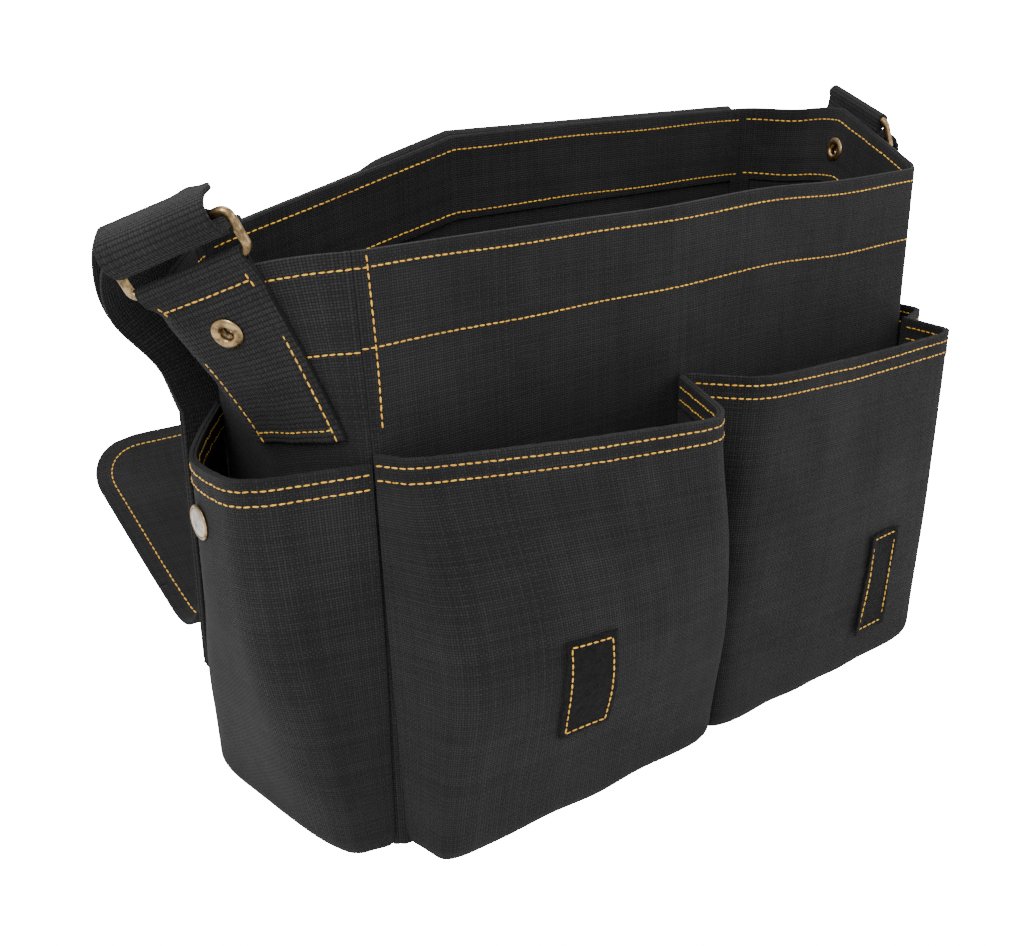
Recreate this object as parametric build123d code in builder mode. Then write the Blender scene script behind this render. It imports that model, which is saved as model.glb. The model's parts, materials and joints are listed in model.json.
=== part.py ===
from build123d import *
import os
from math import cos, radians, sin

# Electrician's canvas tool pouch, in millimetres.  X runs along the mouth, the front pockets face -Y,
# Z is up.  The origin is on the resting face, under the middle of the main compartment.

# ---- driving dimensions ------------------------------------------------------------------------
body_width = 364  # main compartment, along the mouth
body_depth = 130  # main compartment, front to back
front_height = 275  # bottom to the front edge of the mouth
side_height = 303  # bottom to the edge of the mouth half way back
back_height = 302  # bottom to the back edge of the mouth
left_sag_side = 244  # the same two heights where the left end hangs outward
left_sag_back = 240
sag_start_x = -40  # the mouth starts to fall away to the left of here
sag_end_x = -290
shoulder_height = 180  # below this the walls stand nearly upright
outline_height = 310  # level at which the open mouth's outline is given
left_flare = 91  # how far the left end is pushed out at that level
right_flare = 26
canvas = 2.4  # doubled body canvas
pocket_canvas = 1.8
facing_cloth = 1.2
facing_width = 44  # depth of the facing inside the mouth

pocket_height = 192  # front pockets
front_pocket_depth = 27  # front pockets, at the bottom
side_pocket_height = 188
side_pocket_depth = 24  # side pockets, at the bottom
side_pocket_bulge = 58  # side pockets, at the rim
left_pocket_corner = 34  # how far the front pockets' inner corners stand out when full
right_pocket_corner = 5

webbing = 50.8  # width of the strap and of the ring tabs
strap_thickness = 2.2
tab_thickness = 3.6  # two layers of webbing
tab_length = 84
ring_wire = 4
ring_window = 14  # clear height inside the ring
ring_clearance = 0.4  # ring in the fold of its tab
layer_gap = 0.4  # between trim and the cloth it is sewn to

eyelet_bore = 6.4
eyelet_flange = 14
eyelet_drop = 28  # below the fold of the tab
patch_width = 25.4
left_patch_height = 50.8
right_patch_height = 60
patch_thickness = 1.8
snap_diameter = 15.2

flap_width = 364
flap_cloth = 2.6
flap_top_length = 205  # from the hinge line over the mouth
flap_front_length = 72
flap_end_length = 152
flap_corner = 38
hinge_lift = 4  # hinge line over the mouth's back edge
hook_inset = 14  # hook patches from the flap's end
flap_rest_angles = (6.5, 30, 121)  # of the three lengths, from straight down towards +Y
flap_closed_folds = (75, 2)  # at the front edge and at the end, with the pouch closed

half_width = body_width / 2
half_depth = body_depth / 2
above = 120  # spare height of cutting solids
hinge_y = half_depth + layer_gap + flap_cloth / 2
hinge_z = back_height + hinge_lift


# ---- shared outlines and helpers ---------------------------------------------------------------
def body_plan(corner_out, left_bow, left_bow_y, right_bow, right_bow_y):
    """Plan of the compartment, from the front left corner anticlockwise."""
    side = half_width + corner_out
    return [
        (-side, -half_depth),
        (side, -half_depth),
        (side + right_bow, right_bow_y),
        (side, half_depth),
        (-side, half_depth),
        (-side - left_bow, left_bow_y),
    ]


def mirrored(sections):
    """The same stack of plans for the other end, still anticlockwise."""
    return [(height, [(-x, y) for x, y in reversed(corners)]) for height, corners in sections]


def stacked(sections, inset=0, floor=0):
    """A straight-sided solid through plans at rising heights, its walls moved in by inset."""
    with BuildPart() as solid:
        for height, corners in sections:
            with BuildSketch(Plane.XY.offset(max(height, floor))):
                with BuildLine():
                    Polyline(*corners, close=True)
                make_face()
                if inset:
                    offset(amount=-inset, kind=Kind.INTERSECTION)
        loft(ruled=True)
    return solid.part


def wall_plane(sections, corner, along, height):
    """Plane on the wall that leaves a corner: x along the wall, y up it, z outward."""
    pairs = zip(sections, sections[1:])
    (low, below), (high, top) = next(pair for pair in pairs if pair[1][0] >= height)
    rise = (height - low) / (high - low)
    following = (corner + 1) % len(below)
    low_start, low_end = Vector(*below[corner], low), Vector(*below[following], low)
    high_start, high_end = Vector(*top[corner], high), Vector(*top[following], high)
    start = low_start + (high_start - low_start) * rise
    end = low_end + (high_end - low_end) * rise
    up = (high_start - low_start) * (1 - along) + (high_end - low_end) * along
    return Plane(origin=start + (end - start) * along, x_dir=end - start, z_dir=(end - start).cross(up))


def turned(plane, direction, angle):
    """The plane, turned about a direction through its origin."""
    axis = Axis((0, 0, 0), direction)
    return Plane(plane.origin, x_dir=plane.x_dir.rotate(axis, angle), z_dir=plane.z_dir.rotate(axis, angle))


def mouth_fall(x):
    """0 where the mouth is level along X, 1 at the far left."""
    return max(0, (sag_start_x - x) / (sag_start_x - sag_end_x))


def mouth_height(x, y):
    """Height of the mouth's edge over a point of the plan."""
    side = side_height - mouth_fall(x) * (side_height - left_sag_side)
    back = back_height - mouth_fall(x) * (back_height - left_sag_back)
    if y < 0:
        return front_height + (side - front_height) * (y + half_depth) / half_depth
    return side + (back - side) * y / half_depth


body_sections = [
    (0, body_plan(0, 2, 0, 2, 0)),
    (shoulder_height, body_plan(2, 6, 0, 10, 20)),
    (outline_height, body_plan(8, left_flare, 4, right_flare, 25)),
]
body_outer = stacked(body_sections)
body_inner = stacked(body_sections, canvas)
body_hollow = stacked(body_sections, canvas + facing_cloth)

with BuildPart() as mouth_space:
    for x in (half_width + 60, sag_start_x, sag_end_x):
        with BuildSketch(Plane.YZ.offset(x)):
            with BuildLine():
                Polyline(
                    (-half_depth - 40, front_height),
                    (-half_depth, front_height),
                    (0, mouth_height(x, 0)),
                    (half_depth, mouth_height(x, half_depth)),
                    (half_depth + 40, mouth_height(x, half_depth)),
                    (half_depth + 40, front_height + above),
                    (-half_depth - 40, front_height + above),
                    close=True,
                )
            make_face()
    loft(ruled=True)
mouth_cut = mouth_space.part


# ---- ring tabs: where they lie, and what goes through them ---------------------------------------
def tab_plane(corner, along, tilt, rise):
    """Plane of a ring tab, its origin on the fold over the mouth's edge."""
    near = wall_plane(body_sections, corner, along, outline_height - 40)
    height = mouth_height(near.origin.X, near.origin.Y) + rise
    face = wall_plane(body_sections, corner, along, height)
    return turned(face, face.z_dir, tilt)


def eyelet_plane(tab, corner):
    """Plane of the eyelet on the end wall, straight below the fold of the tab."""
    point = tab.from_local_coords(Vector(0, -eyelet_drop, 0))
    start = wall_plane(body_sections, corner, 0, point.Z).origin
    end = wall_plane(body_sections, corner, 1, point.Z).origin
    return wall_plane(body_sections, corner, (point.Y - start.Y) / (end.Y - start.Y), point.Z)


def peg(plane, radius, start, end):
    """Round peg square to a plane, between two distances from it."""
    with BuildPart() as part:
        with BuildSketch(plane.offset(start)):
            Circle(radius)
        extrude(amount=end - start)
    return part.part


tab_rise = 6  # fold of the right tab over the mouth's edge
left_tab_rise = 5
left_tab_plane = tab_plane(5, 0.3, 23, left_tab_rise)
right_tab_plane = tab_plane(1, 0.65, 17, tab_rise)
ring_axis_out = tab_thickness / 2
eyelet_rivet = eyelet_bore / 2 + 0.9  # outer radius of the eyelet's barrel
eyelet_hole = eyelet_rivet + 0.2
left_eyelet_plane = eyelet_plane(left_tab_plane, 5)
right_eyelet_plane = eyelet_plane(right_tab_plane, 1)
left_eyelet_hole = peg(left_eyelet_plane, eyelet_hole, -20, 20)
right_eyelet_hole = peg(right_eyelet_plane, eyelet_hole, -20, 20)


# ---- main compartment ----------------------------------------------------------------------------
def compartment_wall(side, outside, inside, zone=None, hole=None):
    """One wall, or its facing, between two nested shells, cut to the mouth's edge."""
    with BuildPart() as wall:
        add(outside)
        add(inside, mode=Mode.SUBTRACT)
        if zone:
            add(zone, mode=Mode.INTERSECT)
        add(mouth_cut, mode=Mode.SUBTRACT)
        if side == "front":
            split(bisect_by=corner_plane_front, keep=Keep.TOP)
        elif side == "back":
            split(bisect_by=corner_plane_back, keep=Keep.BOTTOM)
        else:
            split(bisect_by=corner_plane_front, keep=Keep.BOTTOM)
            split(bisect_by=corner_plane_back, keep=Keep.TOP)
            split(bisect_by=Plane.YZ, keep=Keep.BOTTOM if side == "left" else Keep.TOP)
            add(hole, mode=Mode.SUBTRACT)
    return wall.part


corner_inset = half_depth - canvas - facing_cloth - layer_gap
corner_plane_front = Plane.XZ.offset(corner_inset)  # parts the front wall from the ends
corner_plane_back = Plane.XZ.offset(-corner_inset)  # and the back wall
facing_zone = mouth_cut.moved(Location((0, 0, -facing_width)))

with BuildPart() as bottom_panel:
    add(body_inner)
    split(bisect_by=Plane.XY.offset(canvas), keep=Keep.BOTTOM)

front_panel = compartment_wall("front", body_outer, body_inner)
back_panel = compartment_wall("back", body_outer, body_inner)
left_end_panel = compartment_wall("left", body_outer, body_inner, hole=left_eyelet_hole)
right_end_panel = compartment_wall("right", body_outer, body_inner, hole=right_eyelet_hole)
front_facing = compartment_wall("front", body_inner, body_hollow, facing_zone)
back_facing = compartment_wall("back", body_inner, body_hollow, facing_zone)
left_facing = compartment_wall("left", body_inner, body_hollow, facing_zone, left_eyelet_hole)
right_facing = compartment_wall("right", body_inner, body_hollow, facing_zone, right_eyelet_hole)

# ---- pockets ---------------------------------------------------------------------------------------
panel_lap = 3  # pocket plans start this far behind the front panel's face and are cut back to it
wall_y = -half_depth + panel_lap
bottom_y = -half_depth - front_pocket_depth
patch_level = 105  # fullest level of the pockets
left_pocket_sections = [
    (0, [(-half_width + 6, wall_y), (-half_width + 6, bottom_y), (-1, bottom_y), (-1, wall_y)]),
    (
        patch_level,
        [
            (-half_width + 1, wall_y), (-half_width + 14, bottom_y - 14),
            (-22, bottom_y - left_pocket_corner), (-1, wall_y),
        ],
    ),
    (
        pocket_height,
        [
            (-half_width - 2, wall_y), (-half_width + 6, bottom_y + 18),
            (-36, bottom_y - left_pocket_corner - 1), (-1, wall_y),
        ],
    ),
]
right_pocket_sections = [
    (0, [(1, wall_y), (1, bottom_y), (half_width - 6, bottom_y), (half_width - 6, wall_y)]),
    (
        patch_level,
        [
            (1, wall_y), (10, bottom_y - right_pocket_corner),
            (half_width - 2, bottom_y - right_pocket_corner - 1), (half_width - 1, wall_y),
        ],
    ),
    (
        pocket_height,
        [
            (1, wall_y), (26, bottom_y - right_pocket_corner + 1),
            (half_width - 4, bottom_y - right_pocket_corner - 7), (half_width + 2, wall_y),
        ],
    ),
]
lap_x = half_width - 4
side_x = half_width + side_pocket_depth
rim_x = half_width + side_pocket_bulge
side_y = half_depth - 1
left_side_sections = [
    (0, [(-lap_x, side_y), (-side_x, side_y), (-side_x, -half_depth + 7), (-lap_x, -half_depth + 3)]),
    (
        patch_level,
        [(-lap_x, side_y), (-rim_x + 12, side_y - 44), (-rim_x + 8, -half_depth + 15), (-lap_x, -half_depth + 1)],
    ),
    (
        side_pocket_height,
        [(-lap_x, side_y), (-rim_x + 6, side_y - 62), (-rim_x + 2, -half_depth + 23), (-lap_x, -half_depth)],
    ),
]
right_side_sections = mirrored(left_side_sections)
snap_height = 160
snap_share = 0.3  # of the way along the side pocket's face, from the back
left_snap_plane = wall_plane(left_side_sections, 1, snap_share, snap_height)
right_snap_plane = wall_plane(right_side_sections, 1, 1 - snap_share, snap_height)
snap_post = 1.8
snap_hole = snap_post + 0.3



def front_pocket(sections):
    """Pocket wall and floor, open at the top and sewn to the front panel."""
    outside = stacked(sections)
    inside = stacked(sections, pocket_canvas, pocket_canvas)
    with BuildPart() as pocket:
        add(outside)
        add(inside, mode=Mode.SUBTRACT)
        split(bisect_by=Plane.XZ.offset(half_depth), keep=Keep.TOP)
    return pocket.part


def side_pocket(sections, snap_plane):
    """Pocket wall and floor on an end panel, with the hole for its snap."""
    outside = stacked(sections)
    inside = stacked(sections, pocket_canvas, pocket_canvas)
    hole = peg(snap_plane, snap_hole, -8, 8)
    with BuildPart() as pocket:
        add(outside)
        add(inside, mode=Mode.SUBTRACT)
        add(body_outer, mode=Mode.SUBTRACT)
        add(hole, mode=Mode.SUBTRACT)
    return pocket.part


left_front_pocket = front_pocket(left_pocket_sections)
right_front_pocket = front_pocket(right_pocket_sections)
left_side_pocket = side_pocket(left_side_sections, left_snap_plane)
right_side_pocket = side_pocket(right_side_sections, right_snap_plane)


# ---- hook-and-loop patches on the pockets ------------------------------------------------------------
def cloth_patch(plane, height):
    """A sewn patch, standing just off the cloth under it."""
    with BuildPart() as patch:
        with BuildSketch(plane.offset(layer_gap + 0.2)):
            Rectangle(patch_width, height)
        extrude(amount=patch_thickness)
    return patch.part


left_pocket_patch = cloth_patch(wall_plane(left_pocket_sections, 1, 0.41, 80), left_patch_height)
right_pocket_patch = cloth_patch(wall_plane(right_pocket_sections, 1, 0.69, 56), right_patch_height)


# ---- ring tabs, rings and eyelets --------------------------------------------------------------------
fold_radius = ring_wire / 2 + ring_clearance
tab_skin = stacked(body_sections, -tab_thickness)


def ring_tab(plane, hole):
    """Webbing folded over the ring's bar, sewn to the end panel."""
    fold_end = Plane(
        plane.from_local_coords(Vector(-webbing / 2, 0, ring_axis_out)), z_dir=plane.x_dir, x_dir=plane.z_dir
    )
    with BuildPart() as tab:
        with BuildSketch(plane.offset(-12)):
            Rectangle(webbing, tab_length, align=(Align.CENTER, Align.MAX))
        extrude(amount=30)
        add(tab_skin, mode=Mode.INTERSECT)
        add(body_outer, mode=Mode.SUBTRACT)
        with BuildSketch(fold_end):
            Circle(fold_radius + tab_thickness / 2)
        extrude(amount=webbing)
        with BuildSketch(fold_end.offset(-5)):
            Circle(fold_radius)
        extrude(amount=webbing + 10, mode=Mode.SUBTRACT)
        add(hole, mode=Mode.SUBTRACT)
    return tab.part


def ring(plane, lean):
    """Rectangular ring hanging in the tab's fold; lean turns it about its bar, from straight up."""
    bar = Plane(plane.from_local_coords(Vector(0, 0, ring_axis_out)), plane.x_dir, plane.z_dir)
    face = turned(bar, bar.x_dir, lean)
    half_bar = webbing / 2 + ring_wire / 2 + 0.6
    reach = ring_window + ring_wire
    with BuildPart() as wire:
        with BuildLine(face) as path:
            FilletPolyline((-half_bar, 0), (half_bar, 0), (half_bar, reach), (-half_bar, reach), radius=3.5, close=True)
        with BuildSketch(Plane(origin=path.line @ 0, z_dir=path.line % 0)):
            Circle(ring_wire / 2)
        sweep(path=path.line)
    return wire.part, face


def eyelet(plane):
    """Outer half of the eyelet: its flange on the tab, its barrel through tab, panel and facing."""
    barrel_in = canvas + facing_cloth + layer_gap
    with BuildPart() as part:
        with BuildSketch(plane.offset(tab_thickness + layer_gap)):
            Circle(eyelet_flange / 2)
        extrude(amount=1.1)
        with BuildSketch(plane.offset(-barrel_in - 1)):
            Circle(eyelet_rivet)
        extrude(amount=barrel_in + 1 + tab_thickness + layer_gap)
        with BuildSketch(plane.offset(-barrel_in - 3)):
            Circle(eyelet_bore / 2)
        extrude(amount=barrel_in + tab_thickness + 8, mode=Mode.SUBTRACT)
    return part.part


def eyelet_washer(plane):
    """Inner half of the eyelet, round the end of the barrel."""
    with BuildPart() as part:
        with BuildSketch(plane.offset(-canvas - facing_cloth - layer_gap - 1)):
            Circle(eyelet_flange / 2)
            Circle(eyelet_rivet + 0.05, mode=Mode.SUBTRACT)
        extrude(amount=1)
    return part.part


left_ring_tab = ring_tab(left_tab_plane, left_eyelet_hole)
right_ring_tab = ring_tab(right_tab_plane, right_eyelet_hole)
left_ring_lean = -6
right_ring_lean = 146
left_ring, left_ring_face = ring(left_tab_plane, left_ring_lean)
right_ring, right_ring_face = ring(right_tab_plane, right_ring_lean)


# ---- snaps on the side pockets -----------------------------------------------------------------------
def snap_cap(plane):
    """Domed cap outside the pocket, its post through the cloth."""
    with BuildPart() as part:
        with BuildSketch(plane.offset(layer_gap)):
            Circle(snap_diameter / 2)
        extrude(amount=2.2)
        fillet(part.edges().filter_by(GeomType.CIRCLE).sort_by(Axis(plane.origin, plane.z_dir))[-1], 1.6)
        with BuildSketch(plane.offset(-pocket_canvas - 2)):
            Circle(snap_post)
        extrude(amount=pocket_canvas + 3)
    return part.part


def snap_socket(plane):
    """Socket ring inside the pocket, round the cap's post."""
    with BuildPart() as part:
        with BuildSketch(plane.offset(-pocket_canvas - layer_gap - 3.2)):
            Circle(snap_diameter / 2 - 1.4)
            Circle(snap_hole, mode=Mode.SUBTRACT)
        extrude(amount=3.2)
    return part.part


# ---- flap --------------------------------------------------------------------------------------------
def flap_direction(angle):
    return Vector(0, sin(radians(angle)), -cos(radians(angle)))


def flap_plane(origin, angle):
    """Plane of a length of the flap: y along it, z towards its inner, hook side."""
    return Plane(origin=origin, x_dir=(1, 0, 0), z_dir=Vector(1, 0, 0).cross(flap_direction(angle)))


top_angle, front_angle, end_angle = flap_rest_angles
hinge_point = Vector(0, hinge_y, hinge_z)
front_fold_point = hinge_point + flap_direction(top_angle) * flap_top_length
end_fold_point = front_fold_point + flap_direction(front_angle) * flap_front_length
# Cloth ends stand back from a fold so that the rounded edges clear each other when it is sharpest.
edge_radius = flap_cloth / 2 - 0.01
front_setback = (flap_cloth / 2 + 0.15) / cos(radians(flap_closed_folds[0] / 2)) - flap_cloth / 2
end_setback = (flap_cloth / 2 + 0.15) / cos(radians((end_angle - front_angle) / 2)) - flap_cloth / 2


def flap_length(origin, angle, start, end, corner=0):
    """One stiff length of the flap, with rounded long edges."""
    with BuildPart() as part:
        with BuildSketch(flap_plane(origin, angle)) as outline:
            with Locations((0, (start + end) / 2)):
                Rectangle(flap_width, end - start)
            if corner:
                fillet(outline.vertices().sort_by(Axis((0, 0, 0), flap_direction(angle)))[-2:], corner)
        extrude(amount=flap_cloth / 2, both=True)
        if not corner:
            fillet(part.edges().filter_by(Axis.X), edge_radius)
        else:
            start_edges = part.edges().filter_by(Axis.X).sort_by(Axis((0, 0, 0), flap_direction(angle)))[:2]
            fillet(start_edges, edge_radius)
    return part.part


flap_top_piece = flap_length(hinge_point, top_angle, 2, flap_top_length - front_setback)
with BuildPart() as flap_top:
    add(flap_top_piece)
    add(mouth_cut, mode=Mode.SUBTRACT)
flap_front = flap_length(front_fold_point, front_angle, front_setback, flap_front_length - end_setback)
flap_end = flap_length(end_fold_point, end_angle, end_setback, flap_end_length, flap_corner)


def hook_patch(x):
    """Hook patch on the inner side of the flap's end."""
    with BuildPart() as part:
        with BuildSketch(flap_plane(end_fold_point, end_angle).offset(flap_cloth / 2)):
            with Locations((x, flap_end_length - hook_inset - left_patch_height / 2)):
                Rectangle(patch_width, left_patch_height)
        extrude(amount=patch_thickness)
    return part.part


left_hook_patch = hook_patch(-109)
right_hook_patch = hook_patch(126)

# ---- shoulder strap ------------------------------------------------------------------------------------
# One length of webbing.  It is sewn round the right ring, hangs behind the back panel, runs along the
# floor on its edge, and rises to the left ring.  There it turns back on itself, down to the slider.
strap_y = half_depth + 5.4  # middle of the long layer, behind the back panel
return_y = strap_y - strap_thickness - layer_gap  # the returning layer lies inside it
run_x = half_width - 6  # middle of the hanging stretches
run_z = 5  # lower edge of the stretch along the floor
turn_height = 185  # the strap hangs flat against the back below this
slider_x = -70
slider_bar = 2
slider_rail = 3.8
slider_length = 34
slider_slot = 0.4  # play round the strap
slider_travel = 80
loop_radius = 5.3  # webbing round the right ring's bar, to its middle


def ribbon(stations):
    """Webbing through stations, each a middle point, the direction across and the direction along."""
    with BuildPart() as part:
        for middle, across, along in stations:
            with BuildSketch(Plane(origin=middle, x_dir=across, z_dir=along)):
                Rectangle(webbing, strap_thickness)
        loft(ruled=True)
    return part.part


def hanging_band(y, outline):
    """Flat webbing behind the bag, from its outline in X and Z."""
    with BuildPart() as part:
        with BuildSketch(Plane.XZ.offset(-y)):
            with BuildLine():
                Polyline(*outline, close=True)
            make_face()
        extrude(amount=strap_thickness / 2, both=True)
    return part.part


def on_ring(face, reach, out):
    """Point at the middle of a ring's width: reach from the tab's fold, out of the ring's plane."""
    return face.from_local_coords(Vector(0, reach, out))


bar_reach = ring_window + ring_wire
left_across = left_ring_face.x_dir
left_up = left_ring_face.y_dir
left_out = left_ring_face.z_dir
right_across = right_ring_face.x_dir
right_reach = right_ring_face.y_dir
right_out = -right_ring_face.z_dir

# Long layer at the left: up from the hanging stretch, over the ring's outer bar, in through the ring.
left_rise = [
    ((-run_x, strap_y, turn_height), (1, 0, 0), (0, 0, 1)),
    ((-run_x - 10, strap_y + 0.4, turn_height + 31), (0.97, 0, 0.24), (-0.3, 0, 0.95)),
    ((-half_width - 30, half_depth + 8, back_height - 52), (0.8, -0.12, 0.59), (-0.5, -0.1, 0.86)),
    ((-half_width - 47, half_depth - 12, back_height - 25), (0.62, -0.55, 0.56), (-0.25, -0.6, 0.76)),
    ((-half_width - 54, half_depth - 47, back_height - 13), (0.6, -0.72, 0.35), (-0.2, -0.8, 0.56)),
    (on_ring(left_ring_face, bar_reach + 11, -8), left_across, left_out),
    (on_ring(left_ring_face, bar_reach + 9, 7), left_across, left_out - left_up),
    (on_ring(left_ring_face, bar_reach + 2, 11.5), left_across, -left_up),
    (on_ring(left_ring_face, bar_reach - 7, 7), left_across, -left_out - left_up),
    (on_ring(left_ring_face, bar_reach - 9, -2), left_across, -left_out),
    (on_ring(left_ring_face, bar_reach - 8, -12), left_across, -left_out),
]
# Returning layer: from behind the ring, down inside the long layer.
return_fall = [
    left_rise[-1],
    ((-half_width - 45, half_depth - 48, back_height - 25), (0.6, -0.72, 0.35), (0.1, 0.9, -0.3)),
    ((-half_width - 44.5, half_depth - 14.5, back_height - 30.5), (0.62, -0.55, 0.56), (0.25, 0.6, -0.76)),
    ((-half_width - 30, half_depth + 5, back_height - 55), (0.8, -0.12, 0.59), (0.5, 0.1, -0.86)),
    ((-run_x - 10, return_y + 0.2, turn_height + 29), (0.97, 0, 0.24), (0.3, 0, -0.95)),
    ((-run_x, return_y, turn_height), (1, 0, 0), (0, 0, -1)),
]
# At the right: the sewn end inside the ring's bar, round it, then down to the hanging stretch.
right_bar = on_ring(right_ring_face, bar_reach, 0)
right_fall = [(right_bar + right_reach * 42 - right_out * loop_radius, right_across, -right_reach)]
for angle in range(0, 181, 30):
    across_bar = right_out * -cos(radians(angle)) - right_reach * sin(radians(angle))
    round_bar = right_out * sin(radians(angle)) - right_reach * cos(radians(angle))
    right_fall.append((right_bar + across_bar * loop_radius, right_across, round_bar))
right_fall += [
    ((half_width + 48, half_depth - 53, side_height - 37), (0.05, 0.93, 0.36), (0.1, 0.5, -0.86)),
    ((half_width + 45, half_depth - 23, side_height - 60), (-0.45, 0.78, 0.43), (-0.25, 0.6, -0.76)),
    ((half_width + 25, half_depth + 2, side_height - 79), (-0.88, 0.2, 0.43), (-0.5, 0.3, -0.8)),
    ((run_x + 7, strap_y + 0.4, turn_height + 21), (-0.97, 0, 0.24), (-0.3, 0, -0.95)),
    ((run_x, strap_y, turn_height), (-1, 0, 0), (0, 0, -1)),
]
outer_x = run_x + webbing / 2
inner_x = run_x - webbing / 2
run_top = run_z + webbing
long_band = hanging_band(
    strap_y,
    [
        (-outer_x, turn_height), (-outer_x, run_z), (outer_x, run_z), (outer_x, turn_height),
        (inner_x, turn_height), (inner_x, run_top), (-inner_x, run_top), (-inner_x, turn_height),
    ],
)
return_end = slider_x - slider_bar / 2 - layer_gap
return_band = hanging_band(
    return_y,
    [
        (-outer_x, turn_height), (-outer_x, run_z), (return_end, run_z),
        (return_end, run_top), (-inner_x, run_top), (-inner_x, turn_height),
    ],
)
left_ribbon = ribbon(left_rise)
right_ribbon = ribbon(right_fall)
return_ribbon = ribbon(return_fall)
with BuildPart() as shoulder_strap:
    add(long_band)
    add(left_ribbon)
    add(right_ribbon)

with BuildPart() as strap_return:
    add(return_band)
    add(return_ribbon)

# Slider: two rails past the strap's edges, end bars outside the strap and a middle bar inside it.
rail_front = strap_y - strap_thickness / 2 - slider_slot - slider_bar
rail_depth = strap_thickness + 2 * slider_slot + 2 * slider_bar
with BuildPart() as strap_slider:
    with BuildSketch(Plane.XY.offset(run_z - slider_slot - slider_rail)):
        with Locations((slider_x, rail_front + rail_depth / 2)):
            Rectangle(slider_length, rail_depth)
    extrude(amount=slider_rail)
    with BuildSketch(Plane.XY.offset(run_top + slider_slot)):
        with Locations((slider_x, rail_front + rail_depth / 2)):
            Rectangle(slider_length, rail_depth)
    extrude(amount=slider_rail)
    with BuildSketch(Plane.XY.offset(run_z - slider_slot)):
        with Locations((slider_x, rail_front + slider_bar / 2)):
            Rectangle(slider_bar, slider_bar)
        with Locations(
            (slider_x - slider_length / 2 + slider_bar, rail_front + rail_depth - slider_bar / 2),
            (slider_x + slider_length / 2 - slider_bar, rail_front + rail_depth - slider_bar / 2),
        ):
            Rectangle(2 * slider_bar, slider_bar)
    extrude(amount=webbing + 2 * slider_slot)

# ---- pieces --------------------------------------------------------------------------------------------
pieces = {
    "bottom_panel": bottom_panel.part,
    "front_panel": front_panel,
    "back_panel": back_panel,
    "left_end_panel": left_end_panel,
    "right_end_panel": right_end_panel,
    "front_facing": front_facing,
    "back_facing": back_facing,
    "left_facing": left_facing,
    "right_facing": right_facing,
    "left_front_pocket": left_front_pocket,
    "right_front_pocket": right_front_pocket,
    "left_side_pocket": left_side_pocket,
    "right_side_pocket": right_side_pocket,
    "left_pocket_patch": left_pocket_patch,
    "right_pocket_patch": right_pocket_patch,
    "left_ring_tab": left_ring_tab,
    "right_ring_tab": right_ring_tab,
    "left_ring": left_ring,
    "right_ring": right_ring,
    "left_eyelet": eyelet(left_eyelet_plane),
    "right_eyelet": eyelet(right_eyelet_plane),
    "left_eyelet_washer": eyelet_washer(left_eyelet_plane),
    "right_eyelet_washer": eyelet_washer(right_eyelet_plane),
    "left_snap_cap": snap_cap(left_snap_plane),
    "right_snap_cap": snap_cap(right_snap_plane),
    "left_snap_socket": snap_socket(left_snap_plane),
    "right_snap_socket": snap_socket(right_snap_plane),
    "flap_top": flap_top.part,
    "flap_front": flap_front,
    "flap_end": flap_end,
    "left_hook_patch": left_hook_patch,
    "right_hook_patch": right_hook_patch,
    "shoulder_strap": shoulder_strap.part,
    "strap_return": strap_return.part,
    "strap_slider": strap_slider.part,
}
os.makedirs("parts", exist_ok=True)
for name, piece in pieces.items():
    piece.label = name
    export_step(piece, f"parts/{name}.step")
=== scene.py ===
import json
from math import cos, pi, radians, sin, sqrt

import bmesh
import bpy
import numpy as np
from mathutils import Matrix, Vector
from mathutils.bvhtree import BVHTree


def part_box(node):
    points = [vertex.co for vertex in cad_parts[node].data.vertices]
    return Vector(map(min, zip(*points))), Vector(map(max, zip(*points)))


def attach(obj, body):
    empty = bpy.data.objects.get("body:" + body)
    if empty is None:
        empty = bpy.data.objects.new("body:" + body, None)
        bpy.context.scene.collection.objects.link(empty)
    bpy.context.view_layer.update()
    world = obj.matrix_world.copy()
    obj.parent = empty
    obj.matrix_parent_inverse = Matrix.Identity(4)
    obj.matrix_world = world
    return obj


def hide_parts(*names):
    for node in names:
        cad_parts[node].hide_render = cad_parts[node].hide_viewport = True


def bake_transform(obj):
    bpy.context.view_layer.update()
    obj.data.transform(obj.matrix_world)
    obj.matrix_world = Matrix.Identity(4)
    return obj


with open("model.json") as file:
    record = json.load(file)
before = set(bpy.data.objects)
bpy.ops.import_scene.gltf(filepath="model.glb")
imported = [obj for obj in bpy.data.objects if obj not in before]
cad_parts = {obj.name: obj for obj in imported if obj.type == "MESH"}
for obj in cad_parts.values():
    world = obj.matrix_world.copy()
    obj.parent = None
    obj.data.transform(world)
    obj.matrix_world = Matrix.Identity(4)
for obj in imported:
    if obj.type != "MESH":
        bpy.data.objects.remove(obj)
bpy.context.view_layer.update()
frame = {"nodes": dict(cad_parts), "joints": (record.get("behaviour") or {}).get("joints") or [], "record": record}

# Electrician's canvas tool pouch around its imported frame.  Metres: X along the mouth, front at -Y.
mm = 0.001
mounts = {mount["name"]: mount for mount in frame["record"]["mounts"]}
joints = {joint["name"]: joint for joint in frame["joints"]}

# ---- sizes of the cloth work -------------------------------------------------------------------------
half_depth = -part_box("front_panel")[0].y
half_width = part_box("flap_end")[1].x
canvas = 2.4 * mm
pocket_canvas = 1.8 * mm
facing_cloth = 1.2 * mm
facing_width = 44 * mm
webbing = 50.8 * mm
webbing_thickness = 2.0 * mm
stitch_pitch = 3.5 * mm
bottom_roll = 8 * mm  # radius of the compartment's bottom edges
pocket_roll = 13 * mm  # and of the pockets' bottom edges

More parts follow.
